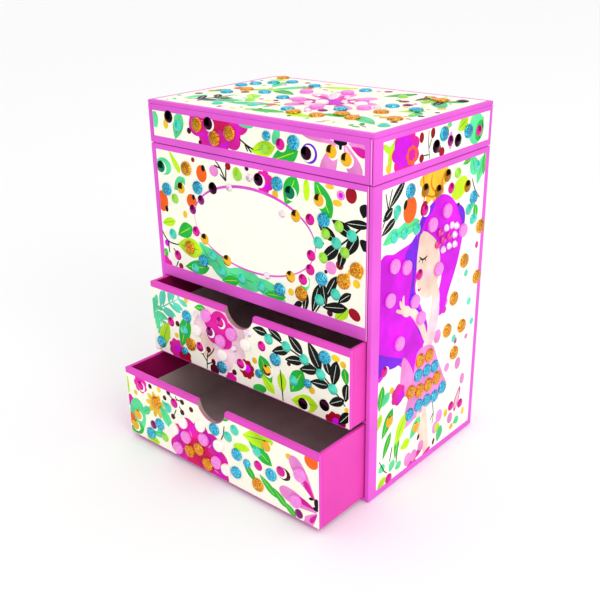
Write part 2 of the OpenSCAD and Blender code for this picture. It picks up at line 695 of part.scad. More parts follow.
blade_y = [29.5, 33.8];
blade_r = 6.5;
blade_t = 0.8;
disc_y = [35.5, 37.5];
disc_r = 5;
worm_y = [16.5, 25.3];
module governor_fly()
  color("silver") {
    y_rod(governor_shaft_r, worm_x, worm_z, [front_upright_y[0] + 0.2, worm_y[0]]);
    y_rod(governor_shaft_r, worm_x, worm_z, [worm_y[1], rear_upright_y[1] - 0.2]);
    slab([worm_x - blade_r, worm_x + blade_r], blade_y, [worm_z - blade_t / 2, worm_z + blade_t / 2]);
    y_rod(disc_r, worm_x, worm_z, disc_y);
  }

// One right-handed thread, with a gap facing the wheel at the wheel's own place
worm_root_r = 1.6;
worm_tip_r = 3;
thread_share = 0.38;
worm_slices = 12;
worm_segments = 10;
function thread_half(r) = 180 * (thread_share - (r - worm_r) * tan(pressure) * 2 / lead);
module governor_worm() {
  length = worm_y[1] - worm_y[0];
  start = -360 * (idler_pos[1] - worm_y[0]) / lead;
  thread = [for (r = [worm_root_r, worm_r, worm_tip_r]) [r, thread_half(r)]];
  color("silver") translate([worm_x, worm_y[0], worm_z]) rotate([-90, 0, 0])
    linear_extrude(length, twist = -360 * length / lead, slices = round(worm_slices * length / lead),
      segments = worm_segments) rotate(start) polygon(concat(
        [for (t = thread) polar(t[0], -t[1])],
        [for (t = thread) polar(thread[2][0] - t[0] + thread[0][0], thread[2][1] + thread[0][1] - t[1])],
        [for (a = [150, 210]) polar(worm_root_r, a)]));
}

// ---------------------------------------------------------------- dancer

module ballerina_spindle()
  color("silver") {
    z_rod(spindle_r, dancer_pos, [lower_plate_z + 0.2, top_gears_z]);
    gear(dancer_pinion_teeth, mesh_phase(dancer_angle, drum_teeth, 0, dancer_pinion_teeth),
      dancer_pos, top_gears_z, top_gears_t, 0);
    z_rod(spindle_r, dancer_pos, [top_gears_z + top_gears_t, dancer_foot_z - 1.5]);
    z_rod(3.4, dancer_pos, [dancer_foot_z - 1.5, dancer_foot_z]);
  }

// A helical wire, swept as rings of points
wire_r = 0.35;
coil_r = 2.2;
coil_turns = 5;
coil_h = 6;
ring_steps = 12;
ring_sides = 6;
module ballerina_spring() {
  rings = coil_turns * ring_steps;
  points = [for (i = [0 : rings]) for (k = [0 : ring_sides - 1])
    let (a = k * 360 / ring_sides, p = polar(coil_r + wire_r * cos(a), i * 360 / ring_steps))
    [p[0], p[1], wire_r + wire_r * sin(a) + (coil_h - 2 * wire_r) * i / rings]];
  faces = concat(
    [[for (k = [0 : ring_sides - 1]) k]],
    [for (i = [0 : rings - 1]) for (k = [0 : ring_sides - 1])
      let (next = (k + 1) % ring_sides)
      [i * ring_sides + next, i * ring_sides + k, (i + 1) * ring_sides + k, (i + 1) * ring_sides + next]],
    [[for (k = [ring_sides - 1 : -1 : 0]) rings * ring_sides + k]]);
  color("silver") translate([dancer_pos[0], dancer_pos[1], dancer_foot_z]) polyhedron(points, faces);
}

// Foot plate, legs, body, raised arms and head with a bun
figure_z = dancer_foot_z + coil_h;
shoulder_z = 167;
arm_ring_r = 7;
module ballerina_figure()
  color("mistyrose") translate([dancer_pos[0], dancer_pos[1], 0]) {
    translate([0, 0, figure_z]) cylinder(r = 3, h = 1);
    for (side = [-1, 1]) translate([side * 0.9, 0, figure_z + 0.6]) cylinder(r1 = 0.7, r2 = 1.7, h = 20);
    translate([0, 0, 156]) rotate_extrude()
      polygon([[0, 0], [3.4, 0], [3, 3], [2.1, 6], [3.1, 9.5], [2.6, 11], [0, 12]]);
    translate([0, 0, 167]) cylinder(r = 1, h = 4);
    translate([0, 0, 172.4]) sphere(r = 2.9);
    translate([0, 0.6, 175.6]) sphere(r = 1.5);
    for (side = [0, 180]) rotate([0, 0, side]) translate([0, 0, 172.6]) rotate([90, 0, 0])
      rotate([0, 0, -76]) rotate_extrude(angle = 162) translate([arm_ring_r, 0]) circle(r = 0.8);
  }

tutu_r = 13.5;
module ballerina_tutu()
  color("pink") translate([dancer_pos[0], dancer_pos[1], 155]) rotate_extrude()
    polygon([[3.7, 1.5], [tutu_r, 0], [tutu_r, 1.6], [8, 3.6], [3.7, 5]]);

stop_cap_z = rim_top - 2;
stop_pad_z = worm_z + disc_r + 0.1;
module stop_rod()
  color("silver") {
    z_rod(rod_r, rod_pos, [stop_pad_z + 1, stop_cap_z]);
    z_rod(1.8, rod_pos, [stop_pad_z, stop_pad_z + 1]);
    z_rod(2.6, rod_pos, [stop_cap_z, stop_cap_z + 1.9]);
  }

// ---------------------------------------------------------------- nodes

left_panel();
right_panel();
back_panel();
base_panel();
front_panel();
compartment_floor();
drawer_divider();
platform();
platform_cleats();
tray_partition();
ring_rolls();
rod_bush();
hinge_cloth_case();
key_grommet();
front_stickers();
right_stickers();
left_stickers();
lid_top_board();
lid_front_rim();
lid_back_rim();
lid_side_rims();
lid_mirror();
hinge_cloth_lid();
lid_top_stickers();
lid_front_stickers();
lid_side_stickers();
upper_drawer_front();
upper_drawer_sides();
upper_drawer_back();
upper_drawer_floor();
upper_drawer_liner();
upper_drawer_stickers();
lower_drawer_front();
lower_drawer_sides();
lower_drawer_back();
lower_drawer_floor();
lower_drawer_liner();
lower_drawer_stickers();
movement_bedplate();
upper_bridge();
bridge_screws();
movement_screws();
comb();
comb_screws();
governor_bracket();
spring_barrel();
mainspring();
barrel_cover();
winding_shaft();
winding_key();
drum();
drum_gears();
idler_wheel();
governor_fly();
governor_worm();
ballerina_spindle();
ballerina_spring();
ballerina_figure();
ballerina_tutu();
stop_rod();
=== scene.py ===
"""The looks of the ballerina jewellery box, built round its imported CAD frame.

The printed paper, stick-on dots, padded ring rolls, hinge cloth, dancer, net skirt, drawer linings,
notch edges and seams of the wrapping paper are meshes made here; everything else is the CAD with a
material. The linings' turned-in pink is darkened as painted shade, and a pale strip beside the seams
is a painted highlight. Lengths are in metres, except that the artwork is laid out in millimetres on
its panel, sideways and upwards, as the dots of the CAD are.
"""

import json
import math
import random

import bmesh
import bpy
from mathutils import Matrix, Quaternion, Vector, noise


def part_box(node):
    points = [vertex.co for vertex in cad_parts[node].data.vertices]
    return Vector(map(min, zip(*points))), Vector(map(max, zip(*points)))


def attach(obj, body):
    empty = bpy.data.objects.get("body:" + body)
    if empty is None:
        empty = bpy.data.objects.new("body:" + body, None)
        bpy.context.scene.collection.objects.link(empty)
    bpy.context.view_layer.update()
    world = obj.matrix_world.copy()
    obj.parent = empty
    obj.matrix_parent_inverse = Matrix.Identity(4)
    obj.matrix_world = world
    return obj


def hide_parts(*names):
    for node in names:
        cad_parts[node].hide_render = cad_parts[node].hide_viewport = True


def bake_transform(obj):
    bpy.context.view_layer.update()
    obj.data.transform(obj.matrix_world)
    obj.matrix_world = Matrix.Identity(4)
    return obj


MM = 0.001
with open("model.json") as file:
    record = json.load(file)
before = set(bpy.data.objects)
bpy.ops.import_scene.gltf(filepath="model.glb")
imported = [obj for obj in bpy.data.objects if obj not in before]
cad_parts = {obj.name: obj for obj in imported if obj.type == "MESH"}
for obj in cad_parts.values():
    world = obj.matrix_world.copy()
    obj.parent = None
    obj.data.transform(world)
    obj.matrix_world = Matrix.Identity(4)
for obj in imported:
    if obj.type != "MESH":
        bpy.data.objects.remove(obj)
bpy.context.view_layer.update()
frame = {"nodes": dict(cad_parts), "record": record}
NODES = frame["nodes"]

# ------------------------------------------------------------------------------- materials


def linear(rgb, gain=1.0):
    """A 0 to 255 display colour in linear light, times gain."""
    parts = [c / 255 for c in rgb]
    light = [((c + 0.055) / 1.055) ** 2.4 if c > 0.04 else c / 12.92 for c in parts]
    return tuple(min(1.0, c * gain) for c in light) + (1.0,)


def surface(name, rgb, rough=0.5, drift=0.08, cloud=60, bump=0.0, grain=2500, **sockets):
    """A Principled material whose colour drifts with soft noise, with a fine bump if asked."""
    made = bpy.data.materials.new(name)
    made.use_nodes = True
    nodes = made.node_tree.nodes
    link = made.node_tree.links.new
    shader = nodes["Principled BSDF"]
    shader.inputs["Roughness"].default_value = rough
    for socket, value in sockets.items():
        shader.inputs[socket.replace("_", " ")].default_value = value
    place = nodes.new("ShaderNodeTexCoord")
    clouds = nodes.new("ShaderNodeTexNoise")
    clouds.inputs["Scale"].default_value = cloud
    clouds.inputs["Detail"].default_value = 3
    ramp = nodes.new("ShaderNodeValToRGB")
    ramp.color_ramp.elements[0].position = 0.35
    ramp.color_ramp.elements[1].position = 0.65
    ramp.color_ramp.elements[0].color = linear(rgb, 1 - drift)
    ramp.color_ramp.elements[1].color = linear(rgb, 1 + drift)
    link(place.outputs["Object"], clouds.inputs["Vector"])
    link(clouds.outputs["Fac"], ramp.inputs["Fac"])
    link(ramp.outputs["Color"], shader.inputs["Base Color"])
    if bump:
        fine = nodes.new("ShaderNodeTexNoise")
        fine.inputs["Scale"].default_value = grain
        height = nodes.new("ShaderNodeBump")
        height.inputs["Strength"].default_value = bump
        height.inputs["Distance"].default_value = 0.2 * MM
        link(place.outputs["Object"], fine.inputs["Vector"])
        link(fine.outputs["Fac"], height.inputs["Height"])
        link(height.outputs["Normal"], shader.inputs["Normal"])
    return made


def glitter(name, dark, middle, painted_glint):
    """Metal flakes 0.4 mm across, each tilted its own way, in tones from dark to bright that are painted
    shade and painted glints.
    """
    made = surface(name, middle, rough=0.4, Metallic=1.0)
    nodes = made.node_tree.nodes
    link = made.node_tree.links.new
    shader = nodes["Principled BSDF"]
    place = nodes["Texture Coordinate"]
    cells = nodes.new("ShaderNodeTexVoronoi")
    cells.inputs["Scale"].default_value = 2300
    ramp = nodes.new("ShaderNodeValToRGB")
    # The flakes' dark and bright tones are painted shade and painted glints, not the flakes' own colours.
    ramp.color_ramp.elements[0].color = linear(dark)
    ramp.color_ramp.elements[1].color = linear(painted_glint)
    ramp.color_ramp.elements[1].position = 0.85
    ramp.color_ramp.elements.new(0.4).color = linear(middle)
    height = nodes.new("ShaderNodeBump")
    height.inputs["Strength"].default_value = 0.7
    height.inputs["Distance"].default_value = 0.25 * MM
    link(place.outputs["Object"], cells.inputs["Vector"])
    link(cells.outputs["Color"], ramp.inputs["Fac"])
    link(ramp.outputs["Color"], shader.inputs["Base Color"])
    link(cells.outputs["Distance"], height.inputs["Height"])
    link(height.outputs["Normal"], shader.inputs["Normal"])
    return made


def woven(name, rgb, rough=0.85, pitch=0.5 * MM, **sockets):
    """A plain weave: two crossed wave bumps."""
    made = surface(name, rgb, rough, 0.12, 90, **sockets)
    nodes = made.node_tree.nodes
    link = made.node_tree.links.new
    height = nodes.new("ShaderNodeBump")
    height.inputs["Strength"].default_value = 0.5
    height.inputs["Distance"].default_value = 0.3 * pitch
    total = nodes.new("ShaderNodeMath")
    total.operation = "ADD"
    for i, direction in enumerate(("X", "Z")):
        threads = nodes.new("ShaderNodeTexWave")
        threads.bands_direction = direction
        threads.inputs["Scale"].default_value = 0.314 / pitch
        link(nodes["Texture Coordinate"].outputs["Object"], threads.inputs["Vector"])
        link(threads.outputs["Fac"], total.inputs[i])
    link(total.outputs["Value"], height.inputs["Height"])
    link(height.outputs["Normal"], nodes["Principled BSDF"].inputs["Normal"])
    return made


PAPER = {"rough": 0.42, "Specular_IOR_Level": 0.1}
INK_COLOURS = {
    "cream": (253, 251, 234),
    "white": (255, 255, 240),
    "orchid": (226, 84, 210),
    "green": (34, 182, 62),
    "leaf": (16, 128, 58),
    "lime": (186, 232, 26),
    "mint": (88, 216, 148),
    "aqua": (92, 216, 186),
    "black": (8, 18, 14),
    "magenta": (224, 22, 162),
    "fuchsia": (216, 8, 228),
    "rose": (238, 140, 210),
    "blush": (248, 206, 218),
    "crimson": (158, 8, 34),
    "ruby": (208, 10, 92),
    "wine": (78, 10, 34),
    "orange": (250, 98, 22),
    "yellow": (246, 196, 44),
    "purple": (122, 26, 222),
    "skin": (248, 212, 194),
}
INKS = {
    name: surface(f"ink_{name}", rgb, drift=0.02 if name in ("cream", "white") else 0.2, **PAPER)
    for name, rgb in INK_COLOURS.items()
}
INK_NAMES = list(INKS)

PINK_WRAP = surface("orchid_wrap", (228, 94, 212), drift=0.06, cloud=25, bump=0.05, **PAPER)
DRAWER_FACE = surface("rose_pink_wrap", (226, 76, 192), drift=0.06, cloud=25, bump=0.05, **PAPER)
# Pale pink strip beside the front's right corner seams: a painted highlight along the corner's rounding.
PAINTED_CORNER_HIGHLIGHT = surface("painted_corner_highlight", (250, 176, 236), drift=0.06, cloud=25, bump=0.05, **PAPER)
DRAWER_WRAP = surface("hot_pink_wrap", (226, 70, 178), drift=0.06, cloud=25, bump=0.05, **PAPER)
# Deep pink paper turned in over the drawers' walls, darker than the wrap as painted shade of their insides;
# the case seams' dark line uses it too.
TURN_IN_SHADE_AND_SEAM_LINE = surface("turn_in_painted_shade_and_seam_line", (150, 14, 84), drift=0.12, cloud=40, bump=0.05, **PAPER)
RAW_BOARD = surface("raw_board", (150, 140, 112), 0.8, 0.2, 400, bump=0.4)
LINER = surface("liner_paper", (196, 186, 178), 0.7, 0.1, 40, bump=0.3, grain=1400)
VELVET = surface("velvet", (214, 52, 150), 0.95, 0.07, 260, bump=0.6, grain=3500, Sheen_Weight=0.8)
SILVERING = surface("mirror_silvering", (225, 228, 232), 0.02, 0.02, 8, Metallic=1.0)
SATIN = woven("hinge_satin", (214, 70, 186), 0.6, Sheen_Weight=0.4)
BRASS = surface("brass", (214, 170, 86), 0.28, 0.12, 150, bump=0.06, Metallic=1.0)
STEEL = surface("steel", (186, 188, 192), 0.25, 0.1, 220, bump=0.08, Metallic=1.0)
SPRING_STEEL = surface("blued_steel", (92, 96, 112), 0.3, 0.2, 300, Metallic=1.0)
FLY_PLASTIC = surface("fly_plastic", (236, 236, 230), 0.4, 0.04, 90)
WOOD = surface("pine_strip", (214, 178, 128), 0.7, 0.18, 35, bump=0.3, grain=900)
TULLE = woven("net", (250, 176, 222), 0.7, 0.35 * MM, Sheen_Weight=0.6, Alpha=0.82)
SKIN_PLASTIC = surface("doll_skin", (246, 206, 182), 0.4, 0.03, 200, Coat_Weight=0.3)
BODICE = surface("doll_bodice", (236, 98, 176), 0.35, 0.08, 300, Coat_Weight=0.4)
HAIR = surface("doll_hair", (116, 66, 34), 0.4, 0.25, 900, Coat_Weight=0.3)
EYE_PAINT = surface("doll_eye_paint", (52, 34, 30), 0.3, 0.1, 900)
LIP_PAINT = surface("doll_lip_paint", (214, 84, 96), 0.3, 0.1, 900)
SHOES = surface("doll_shoes", (244, 150, 196), 0.3, 0.06, 500, Coat_Weight=0.5)

SLOT_OF_MATERIAL = {"printed_board": PINK_WRAP, "pink_board": DRAWER_WRAP, "wood_strip": WOOD}
SLOT_OF_MATERIAL.update({"velvet": VELVET, "hinge_cloth": SATIN, "liner_paper": LINER})
SLOT_OF_MATERIAL.update({"mirror_glass": SILVERING, "brass": BRASS, "steel": STEEL})
SLOT_OF_MATERIAL.update({"fly_plastic": FLY_PLASTIC, "doll_plastic": SKIN_PLASTIC, "tulle": TULLE})

# ------------------------------------------------------------------------------- helpers


def new_object(name, mesh, materials, body):
    """A shown object from a bmesh, riding on body."""
    data = bpy.data.meshes.new(name)
    mesh.to_mesh(data)
    mesh.free()
    for m in materials:
        data.materials.append(m)
    made = bpy.data.objects.new(name, data)
    bpy.context.scene.collection.objects.link(made)
    if body:
        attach(made, body)
    return made


def loft(mesh, rings, material=0, smooth=True):
    """Skins the rings of points, which have the same number each, and closes both ends."""
    rows = [[mesh.verts.new(p) for p in ring] for ring in rings]
    faces = []
    count = len(rows[0])
    for low, high in zip(rows, rows[1:]):
        for i in range(count):
            j = (i + 1) % count
            faces.append(mesh.faces.new((low[i], low[j], high[j], high[i])))
    faces.append(mesh.faces.new(rows[0][::-1]))
    faces.append(mesh.faces.new(rows[-1]))
    for face in faces:
        face.material_index = material
        face.smooth = smooth


def ring(centre, across, up, radius_a, radius_b=None, count=20):
    """Points round an ellipse spanned by the unit vectors across and up."""
    radius_b = radius_a if radius_b is None else radius_b
    turns = [2 * math.pi * i / count for i in range(count)]
    return [centre + across * radius_a * math.cos(t) + up * radius_b * math.sin(t) for t in turns]


def tube(mesh, path, radii, material=0, count=14, flat=1.0):
    """A tapering limb or wire along the path; flat is its depth over its width."""
    rings = []
    across = None
    for i, point in enumerate(path):
        ahead = (path[min(i + 1, len(path) - 1)] - path[max(i - 1, 0)]).normalized()
        if across is None:
            across = ahead.orthogonal().normalized()
        across = (across - ahead * across.dot(ahead)).normalized()
        rings.append(ring(point, across, ahead.cross(across), radii[i], radii[i] * flat, count))
    loft(mesh, rings, material)


def lathe(mesh, centre, profile, material=0, count=28, stretch=(1.0, 1.0)):
    """Turns (radius, height) pairs in millimetres about the upright line through centre."""
    x, y = Vector((1, 0, 0)), Vector((0, 1, 0))
    rings = []
    for r, z in profile:
        at = centre + Vector((0, 0, z * MM))
        rings.append(ring(at, x, y, r * MM * stretch[0], r * MM * stretch[1], count))
    loft(mesh, rings, material)


# ------------------------------------------------------------------------------- printed paper

# Where a flat point (u, v) at height h above the board lies, with h, u and v in metres
FACES = {
    "front": lambda at: lambda u, v, h: Vector((u, at - h, v)),
    "back": lambda at: lambda u, v, h: Vector((-u, at + h, v)),
    "right": lambda at: lambda u, v, h: Vector((at + h, u, v)),
    "left": lambda at: lambda u, v, h: Vector((at - h, -u, v)),
    "top": lambda at: lambda u, v, h: Vector((u, v, at + h)),
}


def turned(points, u, v, turn):
    """Points round the origin, turned by turn degrees and then moved to (u, v)."""
    c, s = math.cos(math.radians(turn)), math.sin(math.radians(turn))
    return [(u + x * c - y * s, v + x * s + y * c) for x, y in points]


def round_angles(count):
    """Angles evenly spaced round a full turn."""
    return [2 * math.pi * i / count for i in range(count)]


def disc(u, v, rx, ry=None, turn=0):
    """A round or oval dot."""
    ry = rx if ry is None else ry
    return turned([(rx * math.cos(a), ry * math.sin(a)) for a in round_angles(20)], u, v, turn)


def leaf(u, v, length, width, turn=0, point=2.2):
    """A lens with two pointed ends, fuller towards its tip."""
    points = []
    for side in (1, -1):
        for i in range(14):
            t = side * math.cos(math.pi * i / 14)
            y = side * width / 2 * max(0.0, 1 - abs(t) ** point) * (1 + 0.3 * t)
            points.append((t * length / 2, y))
    return turned(points, u, v, turn)


def petal(u, v, length, width, turn=0):
    """A drop, pointed at its near end and round at the far one."""
    points = []
    for a in round_angles(20):
        points.append((length / 2 * math.cos(a), width / 2 * math.sin(a) * (0.62 + 0.38 * math.cos(a))))
    return turned(points, u, v, turn)


def bloom(u, v, r, lobes=9, depth=0.1, turn=0):
    """A scalloped round flower."""
    points = []
    for a in round_angles(lobes * 8):
        far = r * (1 - depth + depth * abs(math.sin(a * lobes / 2)) * 1.6)
        points.append((u + far * math.cos(a + turn), v + far * math.sin(a + turn)))
    return points


def curve(points, closed, steps=6):
    """A smooth line through the points."""
    n = len(points)
    out = []
    for i in range(n if closed else n - 1):
        pick = [points[(i + k) % n] if closed else points[min(max(i + k, 0), n - 1)]
                for k in (-1, 0, 1, 2)]
        for step in range(steps):
            t = step / steps
            weights = (-t + 2 * t**2 - t**3, 2 - 5 * t**2 + 3 * t**3,
                       t + 4 * t**2 - 3 * t**3, t**3 - t**2)
            out.append(tuple(sum(w * p[k] for w, p in zip(weights, pick)) / 2 for k in (0, 1)))
    return out if closed else out + [tuple(points[-1])]


def blob(*points):
    """A rounded shape through the points."""
    return curve(points, True)


def stroke(width, *points, taper=0.35):
    """A brush stroke through the points, thinner at its ends."""
    line = curve(points, False)
    left, right = [], []
    for i, (u, v) in enumerate(line):
        ahead = line[min(i + 1, len(line) - 1)]
        behind = line[max(i - 1, 0)]
        du, dv = ahead[0] - behind[0], ahead[1] - behind[1]
        size = math.hypot(du, dv) or 1.0
        share = math.sin(math.pi * i / (len(line) - 1)) ** 0.6
        half = width / 2 * (taper + (1 - taper) * share)
        left.append((u - dv / size * half, v + du / size * half))
        right.append((u + dv / size * half, v - du / size * half))
    return left + right[::-1]


SHAPES = {"disc": disc, "leaf": leaf, "petal": petal, "bloom": bloom, "stroke": stroke, "blob": blob}
SPRINKLE_INKS = ("mint", "lime", "rose", "wine", "yellow", "green", "aqua", "magenta")
VEINS = {"green": "lime", "leaf": "mint", "mint": "green", "lime": "green", "black": "white"}


def clipped(points, box):
    """The part of an outline inside box, which is (low u, low v, high u, high v)."""
    for axis, bound, sign in ((0, box[0], 1), (1, box[1], 1), (0, box[2], -1), (1, box[3], -1)):
        out = []
        for p, q in zip(points, points[1:] + points[:1]):
            inside_p, inside_q = sign * (p[axis] - bound) >= 0, sign * (q[axis] - bound) >= 0
            if inside_p:
                out.append(p)
            if inside_p != inside_q:
                t = (bound - p[axis]) / (q[axis] - p[axis])
                out.append(tuple(p[k] + t * (q[k] - p[k]) for k in (0, 1)))
        points = out
        if len(points) < 3:
            return []
    return points


class Print:
    """Printed paper on one face: each shape is a thin raised film, the later the higher."""

    def __init__(self, name, face, at, box, notch=None):
        self.name, self.box, self.notch = name, box, notch
        self.place = FACES[face](at)
        self.mesh = bmesh.new()
        self.layer = 0
        self.add("cream", [(box[0], box[1]), (box[2], box[1]), (box[2], box[3]), (box[0], box[3])])

    def clear_of_notch(self, points):
        """Pushes an outline out of the finger notch, adding points so that it follows the arc."""
        u0, v0, r = self.notch
        out = []
        for p, q in zip(points, points[1:] + points[:1]):
            for i in range(max(1, int(math.dist(p, q)))):
                t = i / max(1, int(math.dist(p, q)))
                u, v = p[0] + t * (q[0] - p[0]) - u0, p[1] + t * (q[1] - p[1]) - v0
                away = max(1.0, r / max(math.hypot(u, v), 1e-6))
                out.append((u0 + u * away, v0 + v * away))
        return out

    def add(self, ink, points):
        """Prints one outline, over all that is there already."""
        points = clipped(list(points), self.box)
        if self.notch and points:
            points = self.clear_of_notch(points)
        if len(points) < 3:
            return
        area = sum(p[0] * q[1] - q[0] * p[1] for p, q in zip(points, points[1:] + points[:1]))
        if abs(area) < 0.1:
            return
        if area < 0:
            points = points[::-1]
        height = (0.02 + 0.001 * self.layer) * MM
        low = [self.mesh.verts.new(self.place(u * MM, v * MM, -0.01 * MM)) for u, v in points]
        high = [self.mesh.verts.new(self.place(u * MM, v * MM, height)) for u, v in points]
        faces = [self.mesh.faces.new(high), self.mesh.faces.new(low[::-1])]
        for i in range(len(points)):
            j = (i + 1) % len(points)
            faces.append(self.mesh.faces.new((low[i], low[j], high[j], high[i])))
        for face in faces:
            face.material_index = INK_NAMES.index(ink)
        self.layer += 1

    def draw(self, art):
        """art is rows of shape name, ink and one or more lists of that shape's numbers."""
        for shape, ink, *rows in art:
            for row in rows:
                self.add(ink, SHAPES[shape](*row))
                if shape == "leaf" and ink in VEINS and row[2] > 7:
                    self.add_vein(ink, *row)

    def add_vein(self, ink, u, v, length, width, turn=0):
        """The thin line along the middle of a leaf of that ink."""
        half = length * 0.36
        thick = 0.22 if ink == "black" else 0.04 * width + 0.16
        self.add(VEINS[ink], stroke(thick, *turned([(-half, 0), (0, 0), (half, 0)], u, v, turn)))

    def twig(self, ink, width, *lines):
        """Lines drawn with a brush of that width."""
        for line in lines:
            self.add(ink, stroke(width, *line, taper=0.6))

    def branch(self, ink, stem, leaves, width=0.9):
        """A stem with leaves of (u, v, length, width, turn)."""
        self.twig(ink, width, stem)
        fuller = [(u, v, 1.14 * long, 1.1 * wide, turn) for u, v, long, wide, turn in leaves]
        self.draw([("leaf", ink, *fuller)])

    def fern(self, ink, stem, count, length, width):
        """A frond: narrow leaflets in pairs along a stem from its root to its tip."""
        line = curve(stem, False)
        self.add(ink, stroke(0.8, *stem))
        for k in range(count):
            here = int((k + 0.5) / count * (len(line) - 1))
            u, v = line[here]
            ahead = line[min(here + 1, len(line) - 1)]
            along = math.degrees(math.atan2(ahead[1] - v, ahead[0] - u))
            size = length * (1 - 0.35 * abs(2 * k / count - 0.8))
            for side in (-48, 48):
                turn = math.radians(along + side)
                root_u, root_v = u + size / 2 * math.cos(turn), v + size / 2 * math.sin(turn)
                self.add(ink, leaf(root_u, root_v, size, width, along + side))

    def big_bloom(self, u, v, r, petals=11):
        """A large flower of scalloped rings with short strokes round its middle."""
        self.add("magenta", bloom(u, v, r, petals, 0.09))
        self.add("fuchsia", bloom(u, v, r * 0.82, petals, 0.09, 0.2))
        self.add("magenta", bloom(u, v, r * 0.75, petals, 0.1, 0.2))
        self.add("ruby", bloom(u, v, r * 0.5, petals - 2, 0.1))
        for k in range(petals):
            a = 2 * math.pi * (k + 0.5) / petals
            near, far = r * 0.54, r * 0.7
            ends = [(u + d * math.cos(a), v + d * math.sin(a)) for d in (near, far)]
            self.add("rose", stroke(0.7, *ends))

    def painted_rim_highlights(self, dots):
        """White discs in the print, each offset the same way beside a shiny foil dot: painted highlights of
        the dots' rims.
        """
        for u, v, r in dots:
            # Painted highlight: a white disc offset beside the foil dot.
            self.add("white", disc(u + 0.9, v - 0.5, r + 0.25))

    def sprinkle(self, seed, count, keep_clear, sizes=(0.9, 2.0)):
        """Small berries, dots and leaves scattered between what keep_clear lists as (u, v, r)."""
        picks = random.Random(seed)
        taken = list(keep_clear)
        low_u, low_v, high_u, high_v = self.box
        for _ in range(count * 12):
            u, v = picks.uniform(low_u + 2, high_u - 2), picks.uniform(low_v + 2, high_v - 2)
            r = picks.uniform(*sizes)
            if all(math.hypot(u - a, v - b) > r + c + 1 for a, b, c in taken):
                taken.append((u, v, r))
                ink = picks.choice(SPRINKLE_INKS)
                turn = picks.uniform(0, 180)
                if picks.random() < 0.45:
                    self.add(ink, leaf(u, v, r * 3.4, r * 1.3, turn))
                else:
                    self.add(ink, disc(u, v, r * 0.85, r * 0.7, turn))
                count -= 1
            if not count:
                return

    def finish(self, body):
        """Turns the print into a shown piece on body."""
        made = new_object(self.name, self.mesh, INKS.values(), body)
        return made


# ------------------------------------------------------------------------------- the artwork

FRONT_ART = [
    ("disc", "mint", (-66, 155, 6.4, 4.8)),
    ("petal", "lime", (-57, 159, 14, 5.5, -55)),
    ("disc", "orange", (-36, 155.5, 4, 4.6), (-69, 135, 4.6, 6), (-45, 139, 4)),
    ("disc", "black", (-34.6, 158.6, 1.4, 1.8), (-66, 131, 1.2, 1.8), (-43.4, 141.5, 1.2, 1.5)),
    ("leaf", "mint", (-54, 147, 12, 7, 40), (-27, 107.5, 28, 12, -35), (-8, 103.5, 30, 12, -4),
     (9, 101.5, 26, 10, -18), (-36, 111, 16, 9, -50), (34, 110, 12, 5, 60)),
    ("disc", "yellow", (-51, 130.5, 1.7, 2.1), (54.5, 156, 2.8, 1.6), (25, 104.5, 2), (66, 119, 2.2),
     (16, 153.5, 2), (50, 163, 2.6, 1.2), (63, 124, 2.2, 1.5), (60.5, 121.6, 1.6), (67.5, 123, 1.5)),
    ("leaf", "lime", (-65, 123.5, 12, 5, 15), (-49, 112, 20, 11, 0), (57, 101, 12, 6, 45)),
    ("leaf", "green", (-52, 121, 14, 8.5, 30), (-44, 101.5, 20, 8, 10), (-71, 103, 9, 5, 60),
     (26, 157, 17, 9.5, 65), (46, 156.5, 20, 9, -60), (-18, 100, 14, 6, 12), (14, 99.8, 15, 5, 6)),
    ("disc", "lime", (36, 159, 2, 5.4), (-10, 159.4, 2.8, 3.6)),
    ("bloom", "magenta", (9, 158.6, 5.6, 7), (-71, 96.5, 6, 7)),
    ("disc", "fuchsia", (9.8, 156.4, 2.4, 1.6)),
    ("disc", "crimson", (-16, 162.5, 2), (62.5, 161, 3.2, 3.8), (65, 103, 3.8, 2.8, -30),
     (56, 126, 2.3), (-42, 162, 1.3), (-57.5, 99, 1.8)),
    ("disc", "wine", (-2.8, 163.5, 1.4), (-22.5, 103.8, 1.2), (50, 99.8, 1.8), (47.6, 120.8, 1)),
    ("disc", "rose", (-26.5, 158.5, 3.3, 3), (50.8, 123.5, 3.3), (56.5, 160, 2.4), (-39, 127.5, 1.5)),
    ("disc", "fuchsia", (56.5, 160, 1.3), (-68, 110.5, 2)),
]
FRONT_TWIGS = [
    ((-72, 118), (-67, 112), (-58, 111.5)),
    ((-67, 112), (-66.5, 105)),
    ((-63, 108.5), (-59, 104), (-61.5, 98)),
    ((-25, 164), (-21.5, 160.5), (-18, 154.5)),
    ((-17.5, 161.5), (-18, 154.5)),
    ((-22, 157.5), (-18, 154.5)),
    ((-26, 161.5), (-21.5, 160.5)),
]
FRONT_BRANCHES = [
    (((72, 150), (61, 140), (48, 129)),
     ((66, 148, 13, 4, 5), (57.5, 144.6, 12, 5.5, -25), (48.5, 140.6, 11, 5, -30), (63, 137, 12, 5.5, 58),
      (50, 130.5, 13, 5.5, 42), (70, 155, 6, 5, 80), (71, 138.5, 5, 7, 60), (41.5, 134, 9, 4.5, 10),
      (57, 129, 9, 4.5, 75))),
    (((41, 98), (47, 107), (54, 117)),
     ((50.5, 113, 14, 4.4, 62), (41, 105, 15, 4.4, 75), (53, 103.5, 14, 5, 12), (34.5, 101, 10, 3.4, 80),
      (29.5, 99, 6, 3, 30), (46.5, 108.8, 11, 4, 100), (59, 110, 9, 3.6, 40))),
]

